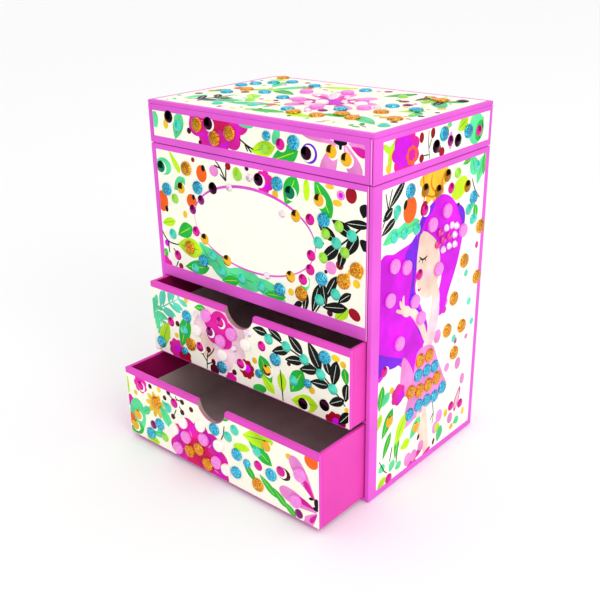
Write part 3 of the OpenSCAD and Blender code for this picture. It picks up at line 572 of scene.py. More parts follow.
UPPER_ART = [
    ("leaf", "lime", (-63, 58, 22, 8, 65), (18, 55, 13, 6, -45), (43, 52.5, 18, 9.5, 8),
     (28, 59, 12, 6, 90)),
    ("bloom", "magenta", (-52.5, 53, 6.4, 8), (-9, 48.5, 4, 7)),
    ("bloom", "crimson", (-46, 50.5, 5, 7), (3, 58.5, 5.4, 8), (63, 48, 6.4, 8)),
    ("disc", "fuchsia", (3.4, 59, 2.4), (63.5, 49, 2.6), (-52, 53.5, 2.4)),
    ("leaf", "green", (-45, 66, 22, 9, 70), (17, 63, 16, 8.5, 120), (38, 63, 17, 9.5, 60),
     (-31, 84.5, 9, 4, 10), (69, 76, 9, 4.5, 100)),
    ("disc", "yellow", (9, 65.5, 1.8), (48, 61.5, 2), (-52, 62, 1.6), (-42, 86, 1.6), (63, 84, 2.6, 1.8),
     (67.5, 82, 1.8), (70, 58, 1.5)),
    ("disc", "green", (12, 50, 5, 2.6, 15)),
    ("disc", "wine", (-22, 50, 3.4), (-6.5, 53.5, 1.7), (-50.5, 69.5, 1.7), (33, 71.5, 1.3)),
    ("disc", "blush", (-27, 63, 1.8), (-21, 64.5, 1.8)),
]
UPPER_TWIGS = [
    ((-28, 48.5), (-27.6, 55), (-26, 61)),
    ((-27.7, 53), (-31.5, 57.5)),
    ((-27.3, 56), (-23, 60.5), (-21.4, 63.5)),
    ((-27.8, 51.5), (-22.8, 54.5)),
    ((28.5, 48.5), (28, 55), (27, 66)),
]
UPPER_BRANCH = (
    ((20, 84), (40, 78), (55, 72), (69, 60)),
    ((13.5, 84, 9, 4.4, 0), (24, 85, 9, 4, -25), (37.5, 83.6, 11, 5, -40), (27.5, 77, 11, 4.6, 20),
     (36.5, 74.5, 11, 4.6, 12), (49.8, 81, 14, 6, -60), (46, 72.4, 11, 4.8, 15), (62.5, 75.5, 13, 5.5, 80),
     (53, 67, 11, 4.6, 8), (63.5, 60.5, 10, 4.6, 30), (69.5, 67.5, 9, 4.5, 85), (68.5, 53, 10, 4.6, 50),
     (57.5, 78.5, 9, 4, -70)),
)

LOWER_ART = [
    ("disc", "lime", (-71, 34, 1.6, 6), (20, 28.5, 6, 2.4, 12)),
    ("bloom", "magenta", (-59, 38, 5.4, 7), (-70, 24, 4, 7)),
    ("bloom", "yellow", (-47, 29, 7, 9, 0.3)),
    ("disc", "yellow", (-43, 40, 1.7), (53, 36.5, 2.6, 1.8), (-64, 31, 1.6), (26, 36, 1.4)),
    ("disc", "mint", (-64, 16.5, 7, 11, -6)),
    ("leaf", "mint", (-39, 24.5, 15, 7, -55), (-38, 31.5, 9, 4, -40), (-56, 22, 10, 5, 40),
     (-47, 11, 12, 6, 15)),
    ("leaf", "green", (7, 41, 9, 3, 5), (33, 31, 19, 8, -30), (-66, 6.5, 14, 7, 20),
     (38, 13, 15, 4.6, -38), (46, 9.6, 13, 4.6, -40), (52.5, 5.8, 10, 4, -35), (25, 16.4, 12, 4.6, -45)),
    ("leaf", "lime", (32, 38.5, 22, 10, 10), (-52, 4.5, 12, 5, 0)),
    ("disc", "wine", (49, 25, 4.4, 3.6), (-24.5, 32.5, 1.7), (-24, 39, 1.6), (-35, 41, 1.6),
     (-32.5, 27, 1.7), (-50.5, 39.5, 1.5), (-17, 37, 1.6), (-38.5, 36.5, 1.5)),
    ("disc", "orange", (67, 40, 4.4), (-70, 12, 3, 4)),
    ("petal", "rose", (61.5, 28, 25, 12, 128), (58, 13.5, 25, 12, 172), (65, 4.5, 17, 10, 232)),
    ("petal", "magenta", (65.5, 22.5, 12, 5.4, 126), (63.5, 14, 11, 5, 170), (68, 7.5, 8, 4, 236)),
    ("disc", "black", (70, 17, 1.6, 2.8), (69.4, 13.6, 1.8, 1.1), (66.6, 18.4, 1.6, 0.8, 20)),
]
LOWER_TWIGS = [
    ((-29, 41), (-28.6, 35), (-31.6, 28)),
    ((-28.7, 37), (-24.4, 33.4)),
    ((-28.9, 39), (-24.6, 39.2)),
    ((-28.7, 36), (-34.4, 40)),
    ((8, 36.5), (7, 31), (5, 27)),
]

LID_FRONT_ART = [
    ("disc", "mint", (-70, 180, 2.6, 4.4), (17.5, 182, 2.4, 4.4, -20), (-2, 185, 5, 1.6)),
    ("leaf", "mint", (-52, 178.6, 16, 8, 70)),
    ("disc", "yellow", (-61.5, 178.4, 2, 2.6)),
    ("disc", "wine", (-43.5, 177, 1.6), (-35.5, 172, 1.2)),
    ("leaf", "lime", (8.5, 174.6, 17, 7.6, 14)),
    ("leaf", "green", (22.5, 173.2, 19, 9, 22)),
    ("disc", "purple", (38, 176.6, 4.8)),
    ("disc", "white", (37.6, 176.7, 3.8)),
    ("petal", "rose", (50.6, 175.6, 20, 13, -112), (62.5, 176.2, 18, 12, -62), (68, 183, 15, 9, -10),
     (44, 184.6, 22, 6, 172)),
    ("petal", "magenta", (66.5, 181.5, 9, 6, -18)),
    ("petal", "blush", (53, 179.4, 9, 4, -110), (61, 178.8, 9, 4, -62)),
    ("stroke", "black", (2.2, (52.4, 184.6), (56, 183.8), (60, 184.4)),
     (1.8, (56.3, 184.4), (56.2, 180.8))),
]
LID_FRONT_TWIGS = [
    ((-7, 177.6), (-2, 175), (2.4, 173.6)),
    ((-3.5, 175.8), (-1.5, 172)),
    ((-2.4, 175.2), (1, 171.8)),
]

LID_RIGHT_ART = [
    ("stroke", "lime", (3.4, (-44.5, 184), (-39, 181), (-34, 186)), (3.4, (-39, 182), (-40, 170))),
    ("stroke", "yellow", (1.6, (-40, 176), (-36, 180), (-33, 178))),
    ("bloom", "magenta", (-27, 178, 10.6, 9)),
    ("bloom", "fuchsia", (-29, 179, 7.4, 8)),
    ("bloom", "orange", (-22, 175.6, 4.4, 7)),
    ("bloom", "magenta", (-22, 175.8, 2.8, 6)),
    ("disc", "crimson", (-14.5, 182.4, 1.9, 2.5), (-5, 183, 1.9, 2.5), (-14, 172.6, 2), (3.5, 172.4, 2.4),
     (0.5, 174.6, 2)),
    ("leaf", "lime", (22, 182.8, 11, 7, 25), (31, 182.6, 10, 5, 60)),
    ("disc", "mint", (35, 178.5, 7.4, 8), (9.5, 184.4, 2, 1.4)),
    ("disc", "green", (38.4, 177, 4, 5.4, -20)),
    ("disc", "rose", (11, 176.6, 2, 4.4)),
    ("disc", "yellow", (7.5, 183, 1.6), (-40.5, 173, 2)),
]
LID_RIGHT_TWIGS = [
    ((-7, 171), (-8.4, 178), (-8.6, 185)),
    ((-7.6, 173.2), (-12.6, 173.6)),
    ((-8, 176), (-5.4, 181.4)),
    ((41.5, 183.5), (41, 178), (38, 172.5)),
]

DANCER_ART = [
    ("bloom", "yellow", (-2, 161, 12, 11, 0.12)),
    ("stroke", "orange", (1, (-12, 164), (-10, 155), (-11, 150)), (1, (-4, 163), (-4, 157), (2, 152)),
     (1, (8, 163), (5, 157), (7, 151)), (1, (-9, 154), (-2, 151.6), (5, 154))),
    ("leaf", "black", (-33, 159.5, 17, 4.4, 42), (-40, 151.5, 9, 5, 32), (-39, 145.5, 13, 4.4, 28)),
    ("leaf", "mint", (-33, 149.5, 6, 4.4, 70), (-25, 141, 24, 7.5, 6), (35, 160, 13, 8, -65),
     (42, 156, 16, 7, 70), (36.5, 139, 7, 4, 60), (-37, 140, 14, 6, 18)),
    ("leaf", "green", (46, 159, 14, 4.6, 85), (28, 163, 8, 3, 10), (40, 134, 9, 4.6, 110)),
    ("disc", "orange", (-22, 149.6, 5.6, 6.6)),
    ("disc", "black", (-26, 153, 1.4, 2.4, -20)),
    ("disc", "crimson", (-10, 147.5, 3, 3.8, -25), (16.5, 144.5, 1.2, 1.8), (-40, 71.4, 2.8, 3.8, -15)),
    ("disc", "lime", (22.5, 150.5, 8, 5.4, 20), (19.8, 158.8, 3.4, 2.8)),
    ("disc", "magenta", (13.6, 152.4, 1.3, 2.6, -20), (13.6, 86.4, 2, 2), (27, 63.5, 1.5, 1.9),
     (43.5, 114.5, 1.6, 2), (-12, 3.5, 4.4, 3)),
    ("disc", "aqua", (34, 101, 2), (39, 83, 2.2), (25, 65.5, 2.2), (43.5, 69.5, 2), (40, 130, 2.2)),
    ("disc", "rose", (14.5, 90.5, 2.2), (8, 73, 3.4, 4), (31, 48, 3, 3.6), (37, 36, 2.4, 3.4),
     (14, 22, 3.2, 4), (26, 15, 2.8, 3.4), (19.5, 50, 2.6), (10.5, 16, 3, 3.8), (38.4, 62, 1.6)),
    ("leaf", "magenta", (32.5, 24.5, 5, 15, -20)),
    ("leaf", "blush", (32.5, 24.5, 3.4, 11, -20)),
    # Flowing hair, then the face, arms and dress over it
    ("blob", "fuchsia", ((-46, 127), (-33, 131), (-20, 133), (-8, 138), (-10, 120), (-15, 108), (-8, 94),
                         (-2, 82), (-7, 70), (-13, 60), (-19, 58), (-23, 66), (-34, 73), (-46, 70))),
    ("blob", "purple", ((-21, 132), (-9, 139), (-12, 124), (-16, 112), (-13, 98), (-4, 88), (-9, 80),
                        (-14, 92), (-20, 102), (-18, 118), (-25, 126))),
    ("blob", "purple", ((-46, 82), (-36, 78), (-24, 72), (-30, 70), (-38, 71), (-46, 70))),
    ("blob", "rose", ((-24, 72), (-17, 66), (-13, 56), (-18, 49), (-25, 53))),
    ("blob", "fuchsia", ((-14, 132), (-13, 141), (-4, 148), (5, 151), (14, 148), (22, 141), (29, 136),
                         (28, 124), (24, 110), (17, 96), (13, 86), (7, 86), (6, 96), (9, 108), (4, 118))),
    ("blob", "purple", ((-14, 133), (-13, 142), (-6, 147), (0, 148), (-6, 140), (-9, 131))),
    ("blob", "purple", ((20, 143), (28, 138), (28.6, 128), (25, 134))),
    ("blob", "skin", ((-11, 136), (-14, 127), (-14.5, 117), (-13, 107), (-7, 100), (0, 99), (5, 104),
                      (7, 113), (5, 124), (-1, 131))),
    ("stroke", "skin", (7.6, (2, 106), (4.6, 96), (3, 86), (-1, 72))),
    ("blob", "blush", ((4, 98), (8.4, 90), (6.6, 78), (3, 71), (-3, 71), (-2, 80), (1.6, 88))),
    ("stroke", "skin", (5, (-2, 73), (-8, 85), (-15, 94), (-20, 97)), (2, (-22, 98), (-26, 101), (-28, 105)),
     (2, (-22, 98), (-25, 102), (-25, 107)), (2, (-22, 97), (-27, 99), (-31, 101))),
    ("disc", "skin", (-22, 97.6, 4.4, 2.8, 150)),
    ("blob", "fuchsia", ((-12, 135), (-6, 137), (3, 132), (8, 120), (9, 108), (12, 118), (10, 132),
                         (2, 143), (-7, 142))),
    ("stroke", "black", (1, (-12.4, 123.4), (-9.2, 121.2), (-5.2, 122)), (0.6, (-11.4, 122), (-13, 120.6)),
     (0.6, (-9.4, 121.2), (-9.8, 119.2)), (0.6, (-7, 121.4), (-6.6, 119.6))),
    ("disc", "blush", (-4.4, 111.4, 3.4, 3)),
    ("stroke", "magenta", (1.2, (-12.8, 106.6), (-11.4, 105.6), (-10, 106.4))),
    ("blob", "rose", ((-10, 71), (3, 70), (9, 60), (16, 47), (20, 38), (8, 35), (-8, 32), (-23, 30),
                      (-19, 43), (-14, 57))),
    ("stroke", "skin", (6, (-2, 36), (-1, 24), (1, 9), (2, 5)), (5, (-8, 34), (-5, 22), (-1, 12))),
    ("stroke", "black", (0.6, (6, 36), (8, 26), (7, 20)), (0.6, (8, 27), (5, 23))),
    ("petal", "magenta", (-6, 8, 11, 6, 35), (2.5, 4.8, 8, 3.4, 10)),
    ("disc", "rose", (-16, 8.6, 3.4, 4), (-10.4, 8.4, 3, 3.6), (-3.6, 11.4, 2.8, 3.2)),
    ("bloom", "magenta", (-27, 53, 5.8, 6)),
    ("disc", "fuchsia", (-25, 51, 2.6, 3.4)),
    ("leaf", "green", (-36, 40, 17, 6.6, 58), (-42, 57, 14, 5, 78), (-36, 27, 15, 4.4, 64),
     (-27, 22, 14, 4.4, 80)),
    ("leaf", "lime", (-24, 31, 18, 7.4, 62), (-43, 44, 9, 4.4, 70), (-19, 19.5, 9, 6, 10),
     (-40, 6, 9, 5, 35), (12.5, 15, 6, 5, 60)),
    ("leaf", "mint", (-10, 25.5, 14, 7, 48), (-38, 55, 9, 5.4, 40), (15, 10, 10, 6, 70),
     (-40, 15, 6, 5, 20), (-31, 12.5, 7, 5, 60), (-25, 9.5, 6, 4.6, 20), (33, 10.4, 6, 5, 20)),
    ("disc", "yellow", (-33, 58, 1.8), (21, 20.5, 1.8, 2.4), (40, 13.5, 1.4, 2.4), (28, 8.6, 1.8)),
    ("disc", "wine", (27, 22.6, 1.1, 2.4, -15), (-6.4, 18, 1, 1.8, -20), (9.4, 7.6, 1, 1.9, -20),
     (22, 142, 1), (-33, 5.4, 1.6, 3, -30)),
]
DANCER_TWIGS = [
    ((-44, 146), (-40, 154), (-37, 163)),
    ((-40, 154), (-42, 162)),
    ((34, 153), (38, 146), (43, 141)),
    ((33, 141.5), (38, 146)),
    ((-42, 20), (-38, 13), (-35, 10)),
    ((-31, 24), (-33, 16)),
    ((-26, 20), (-27, 12)),
]

TOP_ART = [
    ("leaf", "mint", (-36, 20, 26, 8, 60), (-50, 26, 20, 7, 110), (-22, -28, 26, 9, 20),
     (-40, -30, 24, 8, 35),
     (60, 24, 22, 8, 130), (52, -28, 24, 8, 150), (-60, -30, 16, 7, 80), (64, -4, 14, 6, 100)),
    ("leaf", "green", (-30, 8, 22, 8, 160), (36, -26, 22, 8, 15), (28, 36, 20, 8, 60), (-2, -38, 24, 7, 10),
     (62, 36, 14, 6, 45), (-64, -8, 14, 6, 70)),
    ("leaf", "lime", (-44, 8, 20, 8, 30), (-14, 36, 22, 8, 15), (50, 30, 18, 7, 100), (20, -37, 20, 7, 172),
     (-34, -12, 18, 7, 140), (58, 2, 14, 6, 40), (-62, 38, 12, 6, 20)),
    ("disc", "orange", (-60, 4, 3.6), (44, 40, 3.4), (-10, -24, 3), (-28, 26, 3.4)),
    ("disc", "yellow", (-46, -22, 2.4), (56, -18, 2.4), (-6, 40, 2.2), (66, 16, 2.4), (-26, 42, 2)),
    ("disc", "crimson", (-48, -4, 2.6), (40, 22, 2.8), (16, 42, 2.4), (-66, -22, 2.4), (30, -16, 2)),
    ("disc", "wine", (-40, 40, 1.8), (66, -24, 1.8), (-16, -14, 1.6), (48, 16, 1.6)),
]

TOP_BRANCHES = [
    (((-58, -38), (-50, -28), (-46, -14)),
     ((-55, -30, 11, 4, 120), (-49, -33, 11, 4, 20), (-51, -22, 10, 4, 130), (-44, -25, 10, 4, 30))),
    (((40, 42), (48, 34), (60, 30)),
     ((44, 33, 10, 4, 80), (52, 37, 10, 4, 20), (57, 27, 10, 4, 100))),
]

LEFT_ART = [
    ("leaf", "mint", (-30, 128, 26, 9, 60), (24, 132, 24, 9, 120), (-34, 60, 26, 9, 110),
     (28, 52, 24, 9, 55), (-4, 28, 26, 9, 20), (34, 100, 18, 7, 80)),
    ("leaf", "green", (-18, 146, 22, 9, 20), (30, 152, 18, 8, 150), (-36, 96, 22, 9, 80),
     (18, 72, 22, 9, 140), (-30, 32, 22, 9, 60), (32, 26, 18, 8, 120)),
    ("leaf", "lime", (2, 156, 20, 8, 170), (-12, 88, 20, 8, 40), (34, 78, 18, 8, 60),
     (-8, 52, 18, 8, 130), (14, 10, 20, 7, 10), (-40, 14, 14, 7, 80)),
    ("disc", "orange", (-36, 154, 4), (12, 92, 3.6), (-24, 74, 3.4), (38, 44, 3.8)),
    ("disc", "crimson", (38, 142, 3), (-40, 120, 2.8), (4, 40, 3), (-20, 12, 3)),
]
LEFT_BRANCH = (
    ((-44, 150), (-36, 140), (-26, 134)),
    ((-40, 150, 11, 4.4, 60), (-33, 142, 11, 4.4, 5), (-38, 138, 10, 4.4, 100), (-27, 139, 10, 4, 40)),
)

LID_LEFT_ART = [
    ("leaf", "mint", (-28, 179, 14, 6, 50), (20, 176, 14, 6, 120)),
    ("leaf", "green", (-12, 176, 14, 6, 20), (38, 182, 12, 5, 160)),
    ("leaf", "lime", (4, 182, 13, 6, 170), (-42, 176, 10, 5, 80)),
]


def flower_head(sheet, u, v, petals, reach, size=(17, 11)):
    """A daisy of wide petals round a scalloped middle."""
    for k in range(petals):
        a = 360 * k / petals + 12
        c, s = math.cos(math.radians(a)), math.sin(math.radians(a))
        sheet.add("rose", petal(u + reach * c, v + reach * s, size[0], size[1], a))
        inner_u, inner_v = u + reach * 0.8 * c, v + reach * 0.8 * s
        sheet.add("magenta", petal(inner_u, inner_v, size[0] * 0.5, size[1] * 0.45, a))
    sheet.add("magenta", bloom(u, v, reach * 0.62, petals + 2))
    sheet.add("fuchsia", bloom(u, v, reach * 0.42, petals))


def label(sheet, u, v, a, b):
    """A blank oval label with a thin outline."""
    sheet.add("orchid", disc_fine(u, v + 0.25, a + 0.4, b + 1.3))
    sheet.add("white", disc_fine(u, v, a, b))


def worn_fold_and_highlight(sheet, low, high):
    """Pale lines where a drawer's printed paper is creased round its ends: partly the paper's worn edge,
    partly a painted highlight along the fold.
    """
    for u in (-71.5, 71.05):
        sheet.add("white", [(u, low), (u + 0.45, low), (u + 0.45, high), (u, high)])


def disc_fine(u, v, a, b):
    """A large oval, with enough points to look smooth."""
    return [(u + a * math.cos(t), v + b * math.sin(t)) for t in round_angles(96)]


# ------------------------------------------------------------------------------- stick-on dots

# Profiles are (share of the radius, share of the thickness) from the board up
ROUNDED = ((0.96, 0), (1, 0.3), (0.97, 0.62), (0.86, 0.86), (0.62, 0.97), (0.3, 1), (0.02, 1))
DOMED = (
    (0.97, 0), (1, 0.1), (0.94, 0.26), (0.8, 0.48), (0.62, 0.7), (0.42, 0.87), (0.2, 0.97), (0.02, 1),
)
FOAM = ((0.97, 0), (1, 0.2), (1, 0.66), (0.94, 0.9), (0.82, 1), (0.4, 1), (0.02, 1))
GEM_CUT = ((0.9, 0), (1, 0.3), (0.94, 0.46), (0.56, 1), (0.02, 1))

TEAL_GLITTER = glitter("teal_glitter", (0, 84, 128), (6, 176, 228), (130, 240, 255))
GOLD_GLITTER = glitter("gold_glitter", (126, 46, 0), (248, 136, 8), (255, 220, 84))


def enamel(name, rgb):
    return surface(name, rgb, 0.12, Coat_Weight=1.0)


def foam(name, rgb, drift):
    return surface(name, rgb, 0.35, drift, 700, bump=0.2)


def crystal(name, rgb, drift):
    return surface(name, rgb, 0.08, drift, 1500, Metallic=0.4)


def foil(name, rgb, rough=0.14, metal=1.0):
    return surface(name, rgb, rough, Metallic=metal)


# Diameter and thickness in mm, profile, material, share of rim unevenness, facets
DOT_KINDS = {
    "teal": (7.2, 1.2, ROUNDED, TEAL_GLITTER, 0.03, 30),
    "gold": (7.8, 1.2, ROUNDED, GOLD_GLITTER, 0.03, 30),
    "teal_small": (4.9, 1.2, ROUNDED, TEAL_GLITTER, 0.03, 26),
    "mint": (6.1, 1.4, DOMED, enamel("mint_enamel", (40, 206, 178)), 0, 30),
    "lime": (5.6, 1.4, DOMED, enamel("lime_enamel", (146, 220, 16)), 0, 30),
    "rose": (7.4, 1.6, FOAM, foam("rose_foam", (244, 132, 222), 0.14), 0.01, 30),
    "cream": (6.9, 1.6, FOAM, foam("cream_foam", (255, 246, 238), 0.04), 0.01, 30),
    "magenta": (5.8, 1.0, DOMED, foil("magenta_foil", (222, 10, 152), 0.16, 0.55), 0, 30),
    "brassy": (6.4, 0.8, DOMED, foil("gold_foil", (246, 186, 48), 0.12), 0, 32),
    "night": (6.6, 0.8, DOMED, foil("night_foil", (52, 14, 40), 0.1), 0, 32),
    "plum": (5.4, 0.8, DOMED, foil("plum_foil", (142, 10, 116), 0.14, 0.7), 0, 30),
    "gem": (4.2, 1.6, GEM_CUT, crystal("cut_crystal", (246, 220, 234), 0.14), 0, 8),
    "ruby_gem": (4.2, 1.6, GEM_CUT, crystal("ruby_crystal", (226, 60, 150), 0.2), 0, 8),
    "green": (6.6, 0.8, DOMED, foil("green_foil", (10, 120, 84), 0.14, 0.9), 0, 32),
    "bronze": (6.6, 0.8, DOMED, foil("bronze_foil", (176, 116, 24)), 0, 32),
}

# Dots of the same sizes in other finishes: two on the front, and those of the right side, where
# only every third gem changes
GREEN_AT = ((-68, 154.5), (25.5, 156))
RIGHT_FINISH = {"night": "bronze", "plum": "magenta", "gem": "ruby_gem"}


def islands(node):
    """The corner boxes of the separate solids of a CAD node."""
    mesh = bmesh.new()
    mesh.from_mesh(NODES[node].data)
    bmesh.ops.remove_doubles(mesh, verts=mesh.verts, dist=1e-6)
    left = set(mesh.verts)
    boxes = []
    while left:
        open_verts = [left.pop()]
        low, high = open_verts[0].co.copy(), open_verts[0].co.copy()
        while open_verts:
            vert = open_verts.pop()
            low = Vector(map(min, low, vert.co))
            high = Vector(map(max, high, vert.co))
            for edge in vert.link_edges:
                other = edge.other_vert(vert)
                if other in left:
                    left.remove(other)
                    open_verts.append(other)
        boxes.append((low, high))
    mesh.free()
    return sorted(boxes, key=lambda b: tuple(round(c, 6) for c in b[0]))


def misfit(kind, width, thick):
    """How far a dot's size in mm is from that of a kind."""
    return abs(kind[0] - width) + 2 * abs(kind[1] - thick)


def dots_of(node):
    """Each dot of a sticker node: its foot's centre, the way it faces, and its kind."""
    found = []
    for low, high in islands(node):
        size = high - low
        axis = min(range(3), key=lambda k: size[k])
        way = Vector((0, 0, 0))
        way[axis] = (math.copysign(1, low[0]), -1, 1)[axis]
        foot = (low + high) / 2 - way * size[axis] / 2
        width, thick = max(size) / MM, size[axis] / MM
        kind = min(DOT_KINDS, key=lambda k: misfit(DOT_KINDS[k], width, thick))
        found.append((foot, way, kind))
    return found


def flat_dots(node, kinds):
    """(u, v, r) in mm of a node's dots of some kinds, on the face that they are on."""
    out = []
    for foot, way, kind in dots_of(node):
        if kind in kinds:
            x, y, z = (c / MM for c in foot)
            u, v = (x, y) if way.z else ((x, z) if way.y else (way.x * y, z))
            out.append((u, v, DOT_KINDS[kind][0] / 2))
    return out


def finish_of(node, number, foot, way, kind):
    """The kind whose finish a dot really has."""
    if way.y and kind == "night":
        nearest = min(math.dist((foot.x / MM, foot.z / MM), at) for at in GREEN_AT)
        return "green" if nearest < 3 else kind
    if node == "right_stickers" and (kind != "gem" or number % 3 == 0):
        return RIGHT_FINISH.get(kind, kind)
    return kind


def add_dots(node, body):
    """Stick-on dots with their real sections in place of the plain discs of a sticker node."""
    mesh = bmesh.new()
    kinds = list(DOT_KINDS)
    for number, (foot, way, kind) in enumerate(dots_of(node)):
        kind = finish_of(node, number, foot, way, kind)
        width, thick, profile, _, uneven, sides = DOT_KINDS[kind]
        across = Vector((0, 0, 1)).cross(way) if not way.z else Vector((1, 0, 0))
        up = way.cross(across)
        spin = Quaternion(way, number * 2.4)
        rings = []
        for share, height in profile:
            points = ring(Vector((0, 0, 0)), across, up, share * width / 2 * MM, count=sides)
            rings.append([])
            for point in points:
                rough = uneven * noise.noise(point / MM * 1.3 + foot / MM)
                flat = spin @ point * (1 + rough)
                dip = 0.6 * uneven * abs(noise.noise(point / MM * 2 + foot / MM))
                lift = height * thick * (1 - dip)
                rings[-1].append(foot + flat + way * lift * MM)
        loft(mesh, rings, kinds.index(kind), smooth=kind != "gem")
    materials = [DOT_KINDS[k][3] for k in kinds]
    made = new_object(node.replace("stickers", "dots"), mesh, materials, body)
    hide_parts(node)
    return made


# ------------------------------------------------------------------------------- soft pieces


def add_ring_rolls():
    """Four velvet rolls, tight at the seams and with pinched ends."""
    for number, (low, high) in enumerate(sorted(islands("ring_rolls"), key=lambda b: b[0].y)):
        mesh = bmesh.new()
        middle, radius = (low + high) / 2, (high.z - low.z) / 2
        length = high.x - low.x
        rings = []
        for i in range(49):
            t = i / 48
            end = min(t, 1 - t) * length / radius
            share = math.sqrt(max(0.0, 1 - (1 - min(1, end)) ** 2)) * 0.96 + 0.04
            points = ring(Vector((low.x + t * length, middle.y, middle.z)), Vector((0, 1, 0)),
                          Vector((0, 0, 1)), radius * share, count=28)
            for k, point in enumerate(points):
                wave = noise.noise(Vector((point.x * 90, point.y * 300 + number * 7, point.z * 300)))
                seam = 0.05 * math.exp(-((k - 7) / 1.2) ** 2)
                centre = Vector((point.x, middle.y, middle.z))
                points[k] = centre + (point - centre) * (1 - 0.03 - seam + 0.03 * wave)
            rings.append(points)
        loft(mesh, rings)
        roll = new_object(f"ring_roll_{number + 1}", mesh, [VELVET], "case")
        if not number:
            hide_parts("ring_rolls")


def add_hinge_cloth():
    """One satin strip glued across the joint between the back and the lid."""
    case_low, case_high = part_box("hinge_cloth_case")
    lid_low, lid_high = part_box("hinge_cloth_lid")
    columns, rows, thick = 56, 26, 0.3 * MM
    mesh = bmesh.new()
    grid = {}
    for side in (0, 1):
        for i in range(columns + 1):
            for j in range(rows + 1):
                x = case_low.x + (case_high.x - case_low.x) * i / columns
                z = case_low.z + (lid_high.z - case_low.z) * j / rows
                ripple = 0.04 * MM * noise.noise(Vector((x * 120, z * 160, 3)))
                y = case_low.y + 0.02 * MM + side * thick + ripple * side
                grid[side, i, j] = mesh.verts.new((x, y, z))
    for i in range(columns):
        for j in range(rows):
            for side in (0, 1):
                corners = ((i, j), (i + 1, j), (i + 1, j + 1), (i, j + 1))
                quad = [grid[side, a, b] for a, b in corners]
                mesh.faces.new(quad[::-1] if side else quad)
    edge = [(i, 0) for i in range(columns)] + [(columns, j) for j in range(rows)]
    edge += [(i, rows) for i in range(columns, 0, -1)] + [(0, j) for j in range(rows, 0, -1)]
    for (i, j), (k, m) in zip(edge, edge[1:] + edge[:1]):
        mesh.faces.new((grid[0, k, m], grid[0, i, j], grid[1, i, j], grid[1, k, m]))
    bmesh.ops.recalc_face_normals(mesh, faces=mesh.faces)
    strip = new_object("hinge_cloth", mesh, [SATIN], None)
    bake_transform(strip)
    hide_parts("hinge_cloth_case", "hinge_cloth_lid")


def add_tutu():
    """Three gathered layers of net, each a thin ruffled disc, in place of the plain skirt."""
    low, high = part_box("ballerina_tutu")
    centre = Vector(((low.x + high.x) / 2, (low.y + high.y) / 2, 0))
    inner, outer = 3.75 * MM, (high.x - low.x) / 2
    top, drop, thick = high.z - 0.4 * MM, high.z - low.z - 1.4 * MM, 0.12 * MM
    for layer in range(3):
        reach = outer * (1 - 0.09 * layer) - 0.3 * MM
        mesh = bmesh.new()
        count, steps = 180, 14
        rows = {}
        area = 0.0
        for side in (0, 1):
            for s in range(steps + 1):
                t = s / steps
                for k in range(count):
                    a = 2 * math.pi * k / count
                    folds = math.sin(a * 15 + layer * 2) * 0.9 + math.sin(a * 24 + 1.3 * layer) * 0.35
                    r = inner + (reach - inner) * t
                    z = top - layer * 1.1 * MM - drop * 0.42 * t**1.6 + folds * 0.75 * MM * t**1.2
                    z = min(max(z, low.z + 0.2 * MM), high.z - 0.2 * MM) + side * thick
                    at = centre + Vector((r * math.cos(a), r * math.sin(a), z))
                    rows[side, s, k] = mesh.verts.new(at)
        for s in range(steps):
            for k in range(count):
                m = (k + 1) % count
                for side in (0, 1):
                    corners = ((s, k), (s, m), (s + 1, m), (s + 1, k))
                    quad = [rows[side, p, q] for p, q in corners]
                    face = mesh.faces.new(quad if side else quad[::-1])
                    face.smooth = True
                    area += face.calc_area() / 2
        for s in (0, steps):
            for k in range(count):
                m = (k + 1) % count
                quad = [rows[0, s, k], rows[0, s, m], rows[1, s, m], rows[1, s, k]]
                mesh.faces.new(quad if s else quad[::-1])
        bmesh.ops.recalc_face_normals(mesh, faces=mesh.faces)
        net = new_object(f"tutu_layer_{layer + 1}", mesh, [TULLE], "dancer_group")
        if not layer:
            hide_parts("ballerina_tutu")


def painted_line(mesh, middle, half, thick, material):
    """A short level line of paint on the dancer's face, pointed at both ends."""
    reach = Vector((half, 0, 0))
    tube(mesh, [middle - reach, middle, middle + reach], [0.05 * MM, thick, 0.05 * MM], material, 8)


